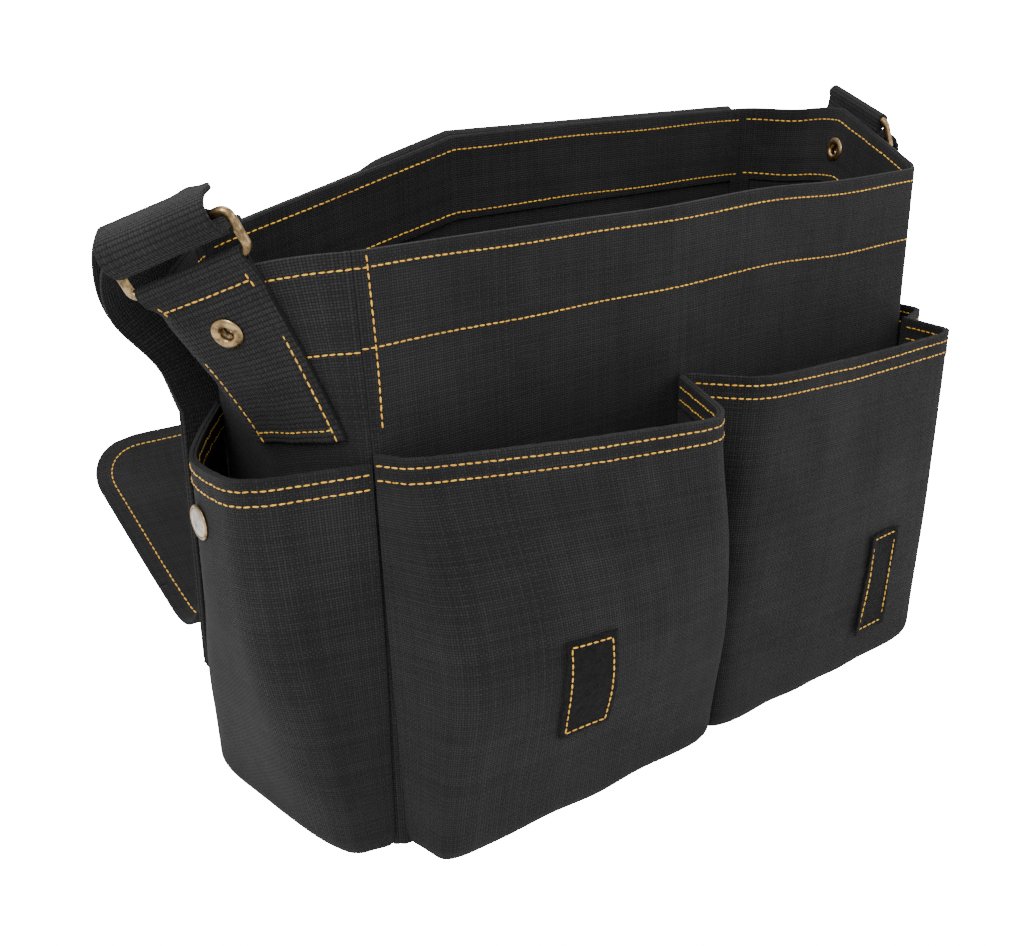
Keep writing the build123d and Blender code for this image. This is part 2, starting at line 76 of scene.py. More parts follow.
# Plans of the compartment and the pockets at rising heights, in millimetres.
body_sections = [
    (0, [(-182, -65), (182, -65), (184, 0), (182, 65), (-182, 65), (-184, 0)]),
    (180, [(-184, -65), (184, -65), (194, 20), (184, 65), (-184, 65), (-190, 0)]),
    (310, [(-190, -65), (190, -65), (216, 25), (190, 65), (-190, 65), (-281, 4)]),
]
left_pocket_sections = [
    (0, [(-176, -65), (-176, -92), (-1, -92), (-1, -65)]),
    (105, [(-181, -65), (-168, -106), (-22, -126), (-1, -65)]),
    (192, [(-184, -65), (-176, -74), (-36, -127), (-1, -65)]),
]
right_pocket_sections = [
    (0, [(1, -65), (1, -92), (176, -92), (176, -65)]),
    (105, [(1, -65), (10, -97), (180, -98), (181, -65)]),
    (192, [(1, -65), (26, -96), (178, -104), (184, -65)]),
]
left_side_sections = [
    (0, [(-182, 64), (-206, 64), (-206, -58), (-182, -63)]),
    (105, [(-184, 64), (-228, 20), (-232, -50), (-183, -65)]),
    (188, [(-185, 64), (-234, 2), (-238, -42), (-185, -65)]),
]
right_side_sections = [
    (level, [(-x, y) for x, y in reversed(plan)]) for level, plan in left_side_sections
]


# ---- cloth surfaces ----------------------------------------------------------------------------------
def smoothstep(value, low, high):
    share = np.clip((value - low) / (high - low), 0, 1)
    return share * share * (3 - 2 * share)


def lengths_along(points):
    return np.append(0, np.cumsum(np.linalg.norm(np.diff(points, axis=0), axis=1)))


def eased(value, levels, values, spread=30 * mm):
    """Interpolation between levels, with the bends between them rounded off."""
    shifts = np.linspace(-spread, spread, 7)
    return np.mean([np.interp(value + shift, levels, values) for shift in shifts], axis=0)


class Outline:
    """Plans stacked at rising heights, with rounded corners."""

    def __init__(self, sections, rounding, closed=False):
        self.levels = [level * mm for level, plan in sections]
        self.corners = np.array([plan for level, plan in sections]) * mm
        unit = np.eye(len(rounding))
        rows, self.marks = [], []
        for i, (share_before, share_after) in enumerate(rounding):
            start = unit[i] + share_before * (unit[i - 1] - unit[i])
            end = unit[i] + share_after * (unit[(i + 1) % len(rounding)] - unit[i])
            turns = np.linspace(0, 1, 9) if share_before else [0.5]
            self.marks.append(len(rows) + len(turns) // 2)
            rows += [start * (1 - t) ** 2 + unit[i] * 2 * t * (1 - t) + end * t * t for t in turns]
        self.turn = len(rows)
        self.rows = np.array(rows * 2 if closed else rows)

    def wall(self, first, last):
        """The stretch between the middles of two corners: shares of its length, and corner weights."""
        start, end = self.marks[first], self.marks[last]
        if end <= start:
            end += self.turn
        weights = self.rows[start : end + 1]
        along = lengths_along(weights @ self.corners[1])
        return along / along[-1], weights

    def plan(self, wall, s, z):
        shares, weights = wall
        mix = [np.interp(s, shares, weight) for weight in weights.T]
        return [
            sum(mix[k] * eased(z, self.levels, self.corners[:, k, axis]) for k in range(len(mix)))
            for axis in (0, 1)
        ]


class Cloth:
    """A cloth surface.  at() gives points from the shares across and up, lifted off it if need be."""

    def __init__(self, base, relief=None):
        self.base, self.relief = base, relief
        line = np.linspace(0, 1, 200)
        self.width = self.length(base(line, np.full(200, 0.8)))
        self.height = self.length(base(np.full(200, 0.5), line))

    @staticmethod
    def length(points):
        return float(np.linalg.norm(np.diff(points, axis=0), axis=1).sum())

    def normal(self, s, t, step=0.003):
        across = self.base(np.clip(s + step, 0, 1), t) - self.base(np.clip(s - step, 0, 1), t)
        up = self.base(s, np.clip(t + step, 0, 1)) - self.base(s, np.clip(t - step, 0, 1))
        square = np.cross(across, up)
        return square / np.maximum(np.linalg.norm(square, axis=-1, keepdims=True), 1e-12)

    def at(self, s, t, lift=0.0):
        s, t = np.broadcast_arrays(np.asarray(s, float), np.asarray(t, float))
        raised = lift + (self.relief(s, t) if self.relief else 0)
        return self.base(s, t) + self.normal(s, t) * np.broadcast_to(raised, s.shape)[..., None]

    def nearest(self, point):
        """Shares of the surface's point nearest to a given one."""
        s, t = np.meshgrid(np.linspace(0.01, 0.99, 160), np.linspace(0.01, 0.99, 160))
        gaps = np.linalg.norm(self.at(s, t) - np.array(point), axis=-1)
        best = np.unravel_index(gaps.argmin(), gaps.shape)
        return float(s[best]), float(t[best])


def ripples(seed, waves, across, up):
    """Broad uneven waves over a surface, between about -1 and 1, from a few random sines."""
    chance = np.random.default_rng(seed)
    terms = [
        (chance.uniform(-across, across), chance.uniform(-up, up), chance.uniform(0, 2 * pi))
        for _ in range(waves)
    ]
    return lambda s, t: sum(np.sin(2 * pi * (a * s + b * t) + phase) for a, b, phase in terms) / sqrt(waves)


def pucker(along, drop, row_drop, seed, depth=0.35 * mm):
    """Cloth drawn in along a stitched row, unevenly, with drop the distance below the edge."""
    turns = 2 * pi * along / mm
    uneven = 0.6 * np.sin(turns / 9 + seed) + 0.4 * np.sin(turns / 14.3 + 2 * seed)
    return depth * (uneven - 0.8) * np.exp(-(((drop - row_drop) / (3.2 * mm)) ** 2))


# ---- mouth of the compartment -----------------------------------------------------------------------
front_height, side_height, back_height = 275 * mm, 303 * mm, 302 * mm
left_sag_side, left_sag_back = 244 * mm, 240 * mm


def mouth_height(x, y):
    fall = np.clip((-40 * mm - x) / (250 * mm), 0, None)
    side = side_height - fall * (side_height - left_sag_side)
    back = back_height - fall * (back_height - left_sag_back)
    to_side = np.clip((y + half_depth) / half_depth, 0, 1)
    to_back = np.clip(y / half_depth, 0, 1)
    return np.where(y < 0, front_height + (side - front_height) * to_side, side + (back - side) * to_back)


body_corners = [(0.09, 0.02), (0.02, 0.09), (0.2, 0.2), (0.12, 0.03), (0.03, 0.12), (0.1, 0.1)]
body_outline = Outline(body_sections, body_corners, closed=True)
wall_stitch_drops = (7 * mm, facing_width - 4 * mm)


def body_wall(first, last, seed, swell):
    """One wall of the compartment, from the bottom to the edge of the mouth."""
    wall = body_outline.wall(first, last)
    rim_waves = ripples(seed + 50, 4, 3, 0)
    folds = ripples(seed, 5, 2.2, 1.6)
    fine_folds = ripples(seed + 9, 6, 7, 4)

    def rim(s):
        z = np.full(np.shape(s), 290 * mm)
        for _ in range(5):
            x, y = body_outline.plan(wall, s, z)
            z = mouth_height(x, y)
        return z + 0.9 * mm * rim_waves(s, 0 * s) * np.sin(pi * s)

    def base(s, t):
        z = t * rim(s)
        x, y = body_outline.plan(wall, s, z)
        tuck = bottom_roll - np.sqrt(np.maximum(bottom_roll**2 - np.clip(bottom_roll - z, 0, None) ** 2, 0))
        return np.stack([x - np.sign(x) * tuck, y * (1 - tuck / half_depth), z], axis=-1)

    def relief(s, t):
        inside = np.sin(pi * s) ** 0.5
        along = s * cloth.width
        drop = (1 - t) * cloth.height
        amount = swell * np.sin(pi * s) * np.sin(pi * np.clip(t, 0, 0.97))
        amount = amount + inside * (1.1 * mm * folds(s, t) * np.sin(pi * t) + 0.35 * mm * fine_folds(s, t))
        rows = sum(pucker(along, drop, row, seed + row * 900) for row in wall_stitch_drops)
        amount = amount + inside * rows
        edge = np.minimum(s, 1 - s) * cloth.width
        return amount - 0.5 * mm * np.exp(-((edge / (1.6 * mm)) ** 2))

    cloth = Cloth(base)
    cloth.relief = relief
    return cloth


walls = {
    "front": body_wall(0, 1, 3, -1.5 * mm),
    "right": body_wall(1, 3, 4, 1.0 * mm),
    "back": body_wall(3, 4, 5, 1.2 * mm),
    "left": body_wall(4, 0, 6, 1.0 * mm),
}


# ---- pockets ----------------------------------------------------------------------------------------
hem_depth, hem_stitch_drops = 15 * mm, (4.5 * mm, 11 * mm)


def pocket_wall(sections, depth_axis, wall_at, centre, height, depth, seed, bulge, bend=(0.3, 0.1)):
    """A pocket's cloth, from the seam under the panel, round the bottom edge and up to the rim."""
    outline = Outline(sections, [(0, 0), bend, bend[::-1], (0, 0)])
    wall = outline.wall(0, 3)
    floor_length = depth - pocket_roll
    arc_length = pocket_roll * pi / 2
    total = floor_length + arc_length + height - pocket_roll
    half_span = max(abs(plan[2][1 - depth_axis] * mm - centre) for level, plan in sections)
    folds = ripples(seed, 5, 2, 1.4)
    fine_folds = ripples(seed + 7, 6, 6, 4)

    def base(s, t):
        run = t * total
        turn = np.clip((run - floor_length) / arc_length, 0, 1) * pi / 2
        rise = np.clip(run - floor_length - arc_length, 0, None)
        z = pocket_roll * (1 - np.cos(turn)) + rise * (1 - 0.012 * np.sin(pi * s))
        short = pocket_roll * (1 - np.sin(turn)) + np.clip(floor_length - run, 0, None)
        place = outline.plan(wall, s, z)
        out = place[depth_axis] - wall_at
        place[depth_axis] = wall_at + out * np.clip(1 - short / depth, 0, 1)
        over = place[1 - depth_axis] - centre
        place[1 - depth_axis] = centre + over * (1 - np.minimum(short, pocket_roll) / half_span * 0.8)
        return np.stack([place[0], place[1], z], axis=-1)

    def relief(s, t):
        along = s * cloth.width
        drop = (1 - t) * total
        amount = bulge * np.sin(pi * s) ** 2 * np.sin(pi * t) ** 2
        creases = 1.6 * mm * folds(s, t) * np.sin(pi * t) + 0.4 * mm * fine_folds(s, t)
        amount = amount + np.sin(pi * s) * creases
        hem = smoothstep(drop, hem_depth, hem_depth - 1.5 * mm) * 0.7 * mm
        rows = sum(pucker(along, drop, row, seed + row * 900, 0.4 * mm) for row in hem_stitch_drops)
        return amount + hem + rows

    cloth = Cloth(base)
    cloth.relief = relief
    return cloth


left_pocket = pocket_wall(left_pocket_sections, 1, -half_depth, -90 * mm, 192 * mm, 27 * mm, 21, 3 * mm)
right_pocket = pocket_wall(right_pocket_sections, 1, -half_depth, 90 * mm, 192 * mm, 27 * mm, 22, 2.5 * mm)
left_side = pocket_wall(left_side_sections, 0, -half_width, 0, 188 * mm, 24 * mm, 23, 2 * mm, (0.42, 0.27))
right_side = pocket_wall(right_side_sections, 0, half_width, 0, 188 * mm, 24 * mm, 24, 2 * mm, (0.27, 0.42))
pockets = {
    "left_front_pocket": left_pocket,
    "right_front_pocket": right_pocket,
    "left_side_pocket": left_side,
    "right_side_pocket": right_side,
}


# ---- meshes -----------------------------------------------------------------------------------------
def add_piece(name, mesh, material, nodes=(), body="root"):
    """A finished mesh as a named piece, riding on its body when one is given."""
    data = bpy.data.meshes.new(name)
    mesh.to_mesh(data)
    mesh.free()
    piece = bpy.data.objects.new(name, data)
    bpy.context.collection.objects.link(piece)
    data.materials.append(material)
    for polygon in data.polygons:
        polygon.use_smooth = True
    if body:
        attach(piece, body)
    if nodes:
        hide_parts(*nodes)
    return piece


def round_rims(mesh, skin, rounding, joins):
    """Rounds the rims of a thickened grid except where it joins another piece."""
    mesh.normal_update()
    rims = {face for face in mesh.faces if 0 < sum(vert in skin for vert in face.verts) < 4}
    caps = {face for face in rims if all(vert in joins for vert in face.verts if vert in skin)}
    sharp = [
        edge for edge in mesh.edges
        if len(edge.link_faces) == 2 and len(rims.intersection(edge.link_faces)) == 1
    ]
    for edge in sharp:
        edge.smooth = False
    rim = [edge for edge in sharp if not caps.intersection(edge.link_faces)]
    bmesh.ops.bevel(
        mesh, geom=rim, offset=rounding, segments=2, profile=0.5, affect="EDGES", material=-1,
        clamp_overlap=True,
    )
    for edge in mesh.edges:
        if not caps.intersection(edge.link_faces):
            edge.smooth = True


def grid_piece(
    name, places, flat, thickness, material, slot, nodes=(), body="root", joins=(), rounding=0.3, holes=()
):
    """Cloth through rows and columns of places; flat gives each row's and column's distance when cut."""
    rows, columns = places.shape[:2]
    places = places.copy()
    places[..., 2] = np.maximum(places[..., 2], 0)
    behind = np.cross(np.gradient(places, axis=0), np.gradient(places, axis=1))
    behind /= np.maximum(np.linalg.norm(behind, axis=-1, keepdims=True), 1e-12)
    backs = places + behind * thickness
    backs[..., 2] = np.maximum(backs[..., 2], 0)
    mesh = bmesh.new()
    weave = mesh.loops.layers.uv.new("flat")
    bmesh.ops.create_grid(mesh, x_segments=columns - 1, y_segments=rows - 1, size=0.5)

    def grid_index(vert):
        return round((vert.co.y + 0.5) * (rows - 1)), round((vert.co.x + 0.5) * (columns - 1))

    for centre, axis, radius in holes:
        punched = []
        for face in mesh.faces:
            offset = Vector(sum(places[grid_index(vert)] for vert in face.verts) / 4) - centre
            if offset.cross(axis).length < radius and offset.length < 20 * mm:
                punched.append(face)
        bmesh.ops.delete(mesh, geom=punched, context="FACES")
    skin = set(mesh.verts)
    bmesh.ops.solidify(mesh, geom=mesh.faces[:], thickness=1)  # flat still, so the copy lies straight below
    across, along = flat
    joined = set()
    index = {vert: grid_index(vert) for vert in mesh.verts}
    for vert, (i, j) in index.items():
        vert.co = places[i, j] if vert in skin else backs[i, j]
        if i in joins:
            joined.add(vert)
    for face in mesh.faces:
        for loop in face.loops:
            i, j = index[loop.vert]
            loop[weave].uv = (across[j], along[i])
    round_rims(mesh, skin, rounding * thickness, joined)
    return add_piece(name, mesh, material, nodes, body)


def cloth_piece(name, cloth, thickness, material, slot, nodes=(), body="root", spacing=3 * mm, **options):
    """A whole cloth surface as a piece, with its quads about the given size."""
    columns, rows = int(cloth.width / spacing), int(cloth.height / spacing)
    across, up = np.linspace(0, 1, columns), np.linspace(0, 1, rows)
    low, high = options.pop("window", (0, 1))
    up = low + (high - low) * up
    lift = options.pop("lift", 0)
    s, t = np.meshgrid(across, up)
    places = cloth.at(s, t, lift)
    flat = (across * cloth.width, up * cloth.height)
    return grid_piece(name, places, flat, thickness, material, slot, nodes, body, **options)


# ---- shader groups ----------------------------------------------------------------------------------
def plug(tree, source, socket):
    if source is None:
        return
    if isinstance(source, bpy.types.Node):
        source = source.outputs[0]
    if isinstance(source, bpy.types.NodeSocket):
        tree.links.new(source, socket)
    else:
        socket.default_value = source


def settle(made, **values):
    """Fixed values for a node's named inputs."""
    for label, value in values.items():
        made.inputs[label.replace("_", " ")].default_value = value


def node(tree, kind, *sources, **settings):
    """A node with its inputs plugged in order; None leaves an input as it is."""
    made = tree.nodes.new(kind)
    for key, value in settings.items():
        setattr(made, key, value)
    for source, socket in zip(sources, made.inputs):
        plug(tree, source, socket)
    return made


def math(tree, operation, *sources):
    return node(tree, "ShaderNodeMath", *sources, operation=operation).outputs[0]


def noise(tree, vector, scale, detail=3, roughness=0.55):
    made = node(tree, "ShaderNodeTexNoise", vector)
    settle(made, Scale=scale, Detail=detail, Roughness=roughness)
    return made.outputs["Fac"]


def ramp(tree, value, low, high, start=0.0, end=1.0):
    made = node(tree, "ShaderNodeMapRange", value, interpolation_type="SMOOTHSTEP")
    settle(made, From_Min=low, From_Max=high, To_Min=start, To_Max=end)
    return made.outputs[0]


def mix_colours(tree, share, first, second):
    made = node(tree, "ShaderNodeMix", data_type="RGBA")
    plug(tree, share, made.inputs["Factor"])
    plug(tree, first, made.inputs["A"] if hasattr(first, "is_linked") else made.inputs[6])
    plug(tree, second, made.inputs["B"] if hasattr(second, "is_linked") else made.inputs[7])
    return made.outputs[2]


def shader_group(name, inputs, outputs):
    tree = bpy.data.node_groups.new(name, "ShaderNodeTree")
    for label, kind, value in inputs:
        socket = tree.interface.new_socket(label, in_out="INPUT", socket_type=kind)
        if value is not None:
            socket.default_value = value
    for label in outputs:
        tree.interface.new_socket(label, in_out="OUTPUT", socket_type="NodeSocketFloat")
    return tree, tree.nodes.new("NodeGroupInput"), tree.nodes.new("NodeGroupOutput")


def plain_weave():
    """Threads crossing over and under: Height of the cloth, Tone of each thread, and a mask of painted shade in the
    low points between threads.
    """
    tree, given, made = shader_group(
        "plain_weave",
        [
            ("Flat", "NodeSocketVector", None),
            ("Threads across", "NodeSocketFloat", 1000.0),
            ("Threads along", "NodeSocketFloat", 1000.0),
            ("Unevenness", "NodeSocketFloat", 0.3),
        ],
        ["Height", "Tone", "Gap_shade"],
    )
    flat, per_across, per_along, uneven = given.outputs[:4]
    wander = math(tree, "MULTIPLY", math(tree, "SUBTRACT", noise(tree, flat, 90), 0.5), uneven)
    slub = math(tree, "MULTIPLY", math(tree, "SUBTRACT", noise(tree, flat, 420, 2), 0.5), uneven)
    parts = node(tree, "ShaderNodeSeparateXYZ", flat)
    threads = []
    for part, density, shift in ((0, per_across, wander), (1, per_along, slub)):
        counted = math(tree, "MULTIPLY", parts.outputs[part], density)
        threads.append(math(tree, "ADD", counted, math(tree, "MULTIPLY", shift, 3.0)))
    humps = [math(tree, "ABSOLUTE", math(tree, "SINE", math(tree, "MULTIPLY", t, pi))) for t in threads]
    steps = [math(tree, "FLOOR", t) for t in threads]
    parity = math(tree, "FLOORED_MODULO", math(tree, "ADD", *steps), 2.0)
    along_over, across_over = (
        math(tree, "MULTIPLY", math(tree, "POWER", humps[0], first), math(tree, "POWER", humps[1], second))
        for first, second in ((0.8, 0.3), (0.3, 0.8))
    )
    picked = node(tree, "ShaderNodeMix", parity, data_type="FLOAT")
    plug(tree, along_over, picked.inputs[2])
    plug(tree, across_over, picked.inputs[3])
    height = picked.outputs[0]
    thread = node(tree, "ShaderNodeMix", parity, data_type="FLOAT")
    plug(tree, steps[0], thread.inputs[2])
    plug(tree, math(tree, "ADD", steps[1], 0.37), thread.inputs[3])
    tone = node(tree, "ShaderNodeTexWhiteNoise", noise_dimensions="1D")
    plug(tree, thread, tone.inputs["W"])
    plug(tree, height, made.inputs["Height"])
    plug(tree, tone.outputs["Value"], made.inputs["Tone"])
    # painted shade mask: strongest where the weave is lowest, between the threads
    plug(tree, ramp(tree, height, 0.75, 0.25), made.inputs["Gap_shade"])
    return tree


placed = [("Place", "NodeSocketVector", None)]


def cloth_wear():
    """Handling marks on cloth: Mottle in broad patches, Lint in fine pale specks."""
    tree, given, made = shader_group("cloth_wear", placed, ["Mottle", "Lint"])
    mottle = noise(tree, given.outputs[0], 26, 5, 0.62)
    lint = noise(tree, given.outputs[0], 1500, 2, 0.8)
    plug(tree, ramp(tree, mottle, 0.3, 0.72), made.inputs["Mottle"])
    plug(tree, ramp(tree, lint, 0.66, 0.8), made.inputs["Lint"])
    return tree


def metal_age():
    """Tarnish gathering in patches, and Scratch marks, on small hardware."""
    tree, given, made = shader_group("metal_age", placed, ["Tarnish", "Scratch"])
    place = given.outputs[0]
    plug(tree, ramp(tree, noise(tree, place, 240, 6, 0.65), 0.38, 0.66), made.inputs["Tarnish"])
    drawn = node(tree, "ShaderNodeMapping", place)
    settle(drawn, Scale=(400, 2600, 700))
    plug(tree, ramp(tree, noise(tree, drawn, 1.0, 3, 0.7), 0.5, 0.75), made.inputs["Scratch"])
    return tree


weave_group, wear_group, age_group = plain_weave(), cloth_wear(), metal_age()


def grouped(tree, group, vector, **values):
    made = node(tree, "ShaderNodeGroup", node_tree=group)
    plug(tree, vector, made.inputs[0])
    settle(made, **values)
    return made


def new_material(name):
    material = bpy.data.materials.new(name)
    material.use_nodes = True
    tree = material.node_tree
    shader = tree.nodes["Principled BSDF"]
    places = tree.nodes.new("ShaderNodeTexCoord")
    return material, tree, shader, places


def bump(tree, height, distance, strength=1.0, below=None):
    made = node(tree, "ShaderNodeBump")
    settle(made, Strength=strength, Distance=distance)
    plug(tree, height, made.inputs["Height"])
    plug(tree, below, made.inputs["Normal"])
    return made.outputs[0]


def woven(name, dark, light, across, along, depth, uneven, sheen, roughness=0.88):
    """A woven cloth: each thread has its own tone, with painted shade darkening the gaps between threads, pale lint
    and broad worn patches.
    """
    material, tree, shader, places = new_material(name)
    weave = grouped(
        tree, weave_group, places.outputs["UV"], Threads_across=across, Threads_along=along, Unevenness=uneven
    )
    wear = grouped(tree, wear_group, places.outputs["Object"])
    worn = math(tree, "MULTIPLY", wear.outputs["Mottle"], 0.45)
    tone = math(tree, "ADD", math(tree, "MULTIPLY", weave.outputs["Tone"], 0.55), worn)
    threads = mix_colours(tree, tone, (*dark, 1), (*light, 1))
    gap_shade, lint = (
        math(tree, "MULTIPLY", value, share)
        for value, share in ((weave.outputs["Gap_shade"], 0.9), (wear.outputs["Lint"], 0.12))
    )
    # painted shade: the low points between threads mixed towards near-black
    gaps = mix_colours(tree, gap_shade, threads, (0.0015, 0.0015, 0.0018, 1))
    linty = mix_colours(tree, lint, gaps, (0.3, 0.3, 0.31, 1))
    plug(tree, linty, shader.inputs["Base Color"])
    matte = ramp(tree, weave.outputs["Height"], 0, 1, roughness + 0.08, roughness)
    plug(tree, matte, shader.inputs["Roughness"])
    settle(shader, Specular_IOR_Level=0.22, Sheen_Weight=sheen, Sheen_Roughness=0.55)
    crumple = bump(tree, noise(tree, places.outputs["Object"], 60, 4, 0.6), 1.2 * mm, 0.5)
    plug(tree, bump(tree, weave.outputs["Height"], depth, 1.0, crumple), shader.inputs["Normal"])
    return material


def fuzzy(name, dark, light, scale, depth, sheen):
    """Hook or loop tape: a dense pile of stiff or curled fibres."""
    material, tree, shader, places = new_material(name)
    pile = noise(tree, places.outputs["Object"], scale, 4, 0.75)
    clumps = noise(tree, places.outputs["Object"], scale * 0.22, 3, 0.6)
    shade = math(tree, "ADD", math(tree, "MULTIPLY", pile, 0.7), math(tree, "MULTIPLY", clumps, 0.3))
    fibres = mix_colours(tree, ramp(tree, shade, 0.42, 0.64), (*dark, 1), (*light, 1))
    plug(tree, fibres, shader.inputs["Base Color"])
    plug(tree, ramp(tree, pile, 0.3, 0.7, 0.95, 0.7), shader.inputs["Roughness"])
    settle(shader, Specular_IOR_Level=0.06, Sheen_Weight=sheen, Sheen_Roughness=0.6)
    plug(tree, bump(tree, shade, depth), shader.inputs["Normal"])
    return material


def sewing_thread():
    material, tree, shader, places = new_material("gold_thread")
    shade = noise(tree, places.outputs["Object"], 120, 3)
    colour = mix_colours(tree, ramp(tree, shade, 0.3, 0.7), (0.62, 0.29, 0.006, 1), (0.9, 0.5, 0.015, 1))
    plug(tree, colour, shader.inputs["Base Color"])
    twist = noise(tree, places.outputs["Object"], 2600, 2)
    plug(tree, ramp(tree, twist, 0.3, 0.7, 0.6, 0.45), shader.inputs["Roughness"])
    settle(shader, Sheen_Weight=0.15)
    plug(tree, bump(tree, twist, 0.12 * mm), shader.inputs["Normal"])
    return material


def old_metal(name, bright, dull, smooth, rough):
    """Plated metal, rubbed bright in places and dull in others."""
    material, tree, shader, places = new_material(name)
    age = grouped(tree, age_group, places.outputs["Object"])
    colour = mix_colours(tree, age.outputs["Tarnish"], (*bright, 1), (*dull, 1))
    plug(tree, colour, shader.inputs["Base Color"])
    plug(tree, ramp(tree, age.outputs["Tarnish"], 0, 1, smooth, rough), shader.inputs["Roughness"])
    settle(shader, Metallic=1.0)
    plug(tree, bump(tree, age.outputs["Scratch"], 0.03 * mm, 0.5), shader.inputs["Normal"])
    return material


canvas_black = woven(
    "black_canvas", (0.004, 0.0037, 0.0042), (0.024, 0.0225, 0.0245), 850, 850, 0.35 * mm, 0.05, 0.03
)
webbing_black = woven(
    "black_webbing", (0.003, 0.0028, 0.0032), (0.021, 0.0205, 0.022), 770, 430, 0.7 * mm, 0.04, 0.03
)
loop_black = fuzzy("loop_tape", (0.001, 0.001, 0.0012), (0.008, 0.008, 0.009), 1700, 0.9 * mm, 0.04)
hook_black = fuzzy("hook_tape", (0.003, 0.003, 0.0035), (0.02, 0.02, 0.021), 1100, 0.8 * mm, 0.04)
thread_gold = sewing_thread()
brass = old_metal("aged_brass", (0.42, 0.29, 0.14), (0.13, 0.088, 0.045), 0.27, 0.48)
nickel = old_metal("worn_nickel", (0.62, 0.57, 0.52), (0.42, 0.37, 0.32), 0.25, 0.4)
steel = old_metal("black_steel", (0.12, 0.115, 0.11), (0.06, 0.058, 0.055), 0.3, 0.5)


# ---- stitches ---------------------------------------------------------------------------------------
thread_radius = 0.42 * mm


def stitch_ball():
    """Corners and faces of one small rounded stitch, to be stretched along the thread."""
    mesh = bmesh.new()
    bmesh.ops.create_uvsphere(mesh, u_segments=6, v_segments=5, radius=1)
    mesh.verts.index_update()
    corners = [corner.co.copy() for corner in mesh.verts]
    faces = [[corner.index for corner in face.verts] for face in mesh.faces]
    mesh.free()
    return corners, faces


stitch_corners, stitch_faces = stitch_ball()


def stitch_row(mesh, points, normals, chance, pitch=stitch_pitch):
    """Stitches along a line of points, each a small rounded thread sunk at its ends."""
    points = np.asarray(points)
    along = lengths_along(points)
    count = max(1, int(along[-1] / pitch))
    for k in range(count):
        ends = (np.array([k + 0.09, k + 0.91]) + chance.uniform(-0.04, 0.04)) * along[-1] / count
        first, last = (Vector([np.interp(end, along, points[:, axis]) for axis in range(3)]) for end in ends)
        up = Vector([np.interp(ends.mean(), along, normals[:, axis]) for axis in range(3)]).normalized()
        run = last - first
        side = up.cross(run).normalized()
        run_direction = Matrix.Rotation(radians(chance.uniform(-5, 5)), 3, up) @ run.normalized()
        side = up.cross(run_direction).normalized()
        axes = Matrix((side * thread_radius, up * thread_radius * 0.85, run_direction * run.length / 2))
        place = Matrix.Translation((first + last) / 2) @ axes.transposed().to_4x4()
        corners = [mesh.verts.new(place @ corner) for corner in stitch_corners]
        for face in stitch_faces:
            mesh.faces.new([corners[index] for index in face])


def sew(name, rows, body="root"):
    """One piece for all the rows of stitches on a panel."""
    mesh = bmesh.new()
    chance = np.random.default_rng(sum(map(ord, name)))
    for points, normals in rows:
        stitch_row(mesh, points, normals, chance)
    bmesh.ops.recalc_face_normals(mesh, faces=mesh.faces[:])
    return add_piece(name, mesh, thread_gold, body=body)


def row_on(cloth, start, end, lift=0.1 * mm, side=1):
    """A sewn line between two pairs of shares, slightly wavering, on the face or behind it."""
    count = max(8, int(np.linalg.norm(cloth.at(*end) - cloth.at(*start)) / (2 * mm)))
    share = np.linspace(0, 1, count)
    s = start[0] + (end[0] - start[0]) * share
    t = start[1] + (end[1] - start[1]) * share
    waver = 0.35 * mm * np.sin(share * count / 9)
    if abs(end[0] - start[0]) > abs(end[1] - start[1]):
        t = t + waver / cloth.height
    else:
        s = s + waver / cloth.width
    s, t = np.clip(s, 0, 1), np.clip(t, 0, 1)
    return cloth.at(s, t, lift), cloth.normal(s, t) * side


def level_row(cloth, drop, lift=0.1 * mm, side=1, start=0.0, end=1.0):
    t = 1 - drop / cloth.height
    return row_on(cloth, (start, t), (end, t), lift, side)


# ---- compartment ------------------------------------------------------------------------------------
wall_spacing = 2.5 * mm
eyelet_hole = 4.6 * mm
inner_lift = -canvas - 0.3 * mm
inner_face = inner_lift - facing_cloth
wall_nodes = {side: f"{side}_panel" if side in ("front", "back") else f"{side}_end_panel" for side in walls}
wall_pieces, facing_pieces = {}, {}
for side, cloth in walls.items():
    holes = []
    if side in ("left", "right"):
        eyelet = mounts[f"{side}_eyelet"]
        holes = [(Vector(eyelet["pos_m"]), Vector(eyelet["axis"]).normalized(), eyelet_hole)]
    wall_pieces[side] = cloth_piece(
        f"{side}_wall", cloth, canvas, canvas_black, "canvas", [wall_nodes[side]], spacing=wall_spacing,
        holes=holes,
    )
    facing_low = 1 - facing_width / cloth.height
    window = (facing_low, 1 - 0.4 * mm / cloth.height)
    columns = int(cloth.width / wall_spacing)
    s, t = np.meshgrid(np.linspace(0.004, 0.996, columns), np.linspace(*window, 18))
    flat = (s[0] * cloth.width, t[:, 0] * cloth.height)
    places = cloth.at(s, t, inner_lift)
    facing_pieces[side] = grid_piece(
        f"{side}_mouth_facing", places, flat, facing_cloth, canvas_black, "canvas", [f"{side}_facing"],
        holes=holes,
    )
    rows = [level_row(cloth, drop) for drop in wall_stitch_drops]
    rows += [level_row(cloth, drop, inner_face - 0.1 * mm, -1, 0.01, 0.99) for drop in wall_stitch_drops]
    sew(f"{side}_wall_stitches", rows)


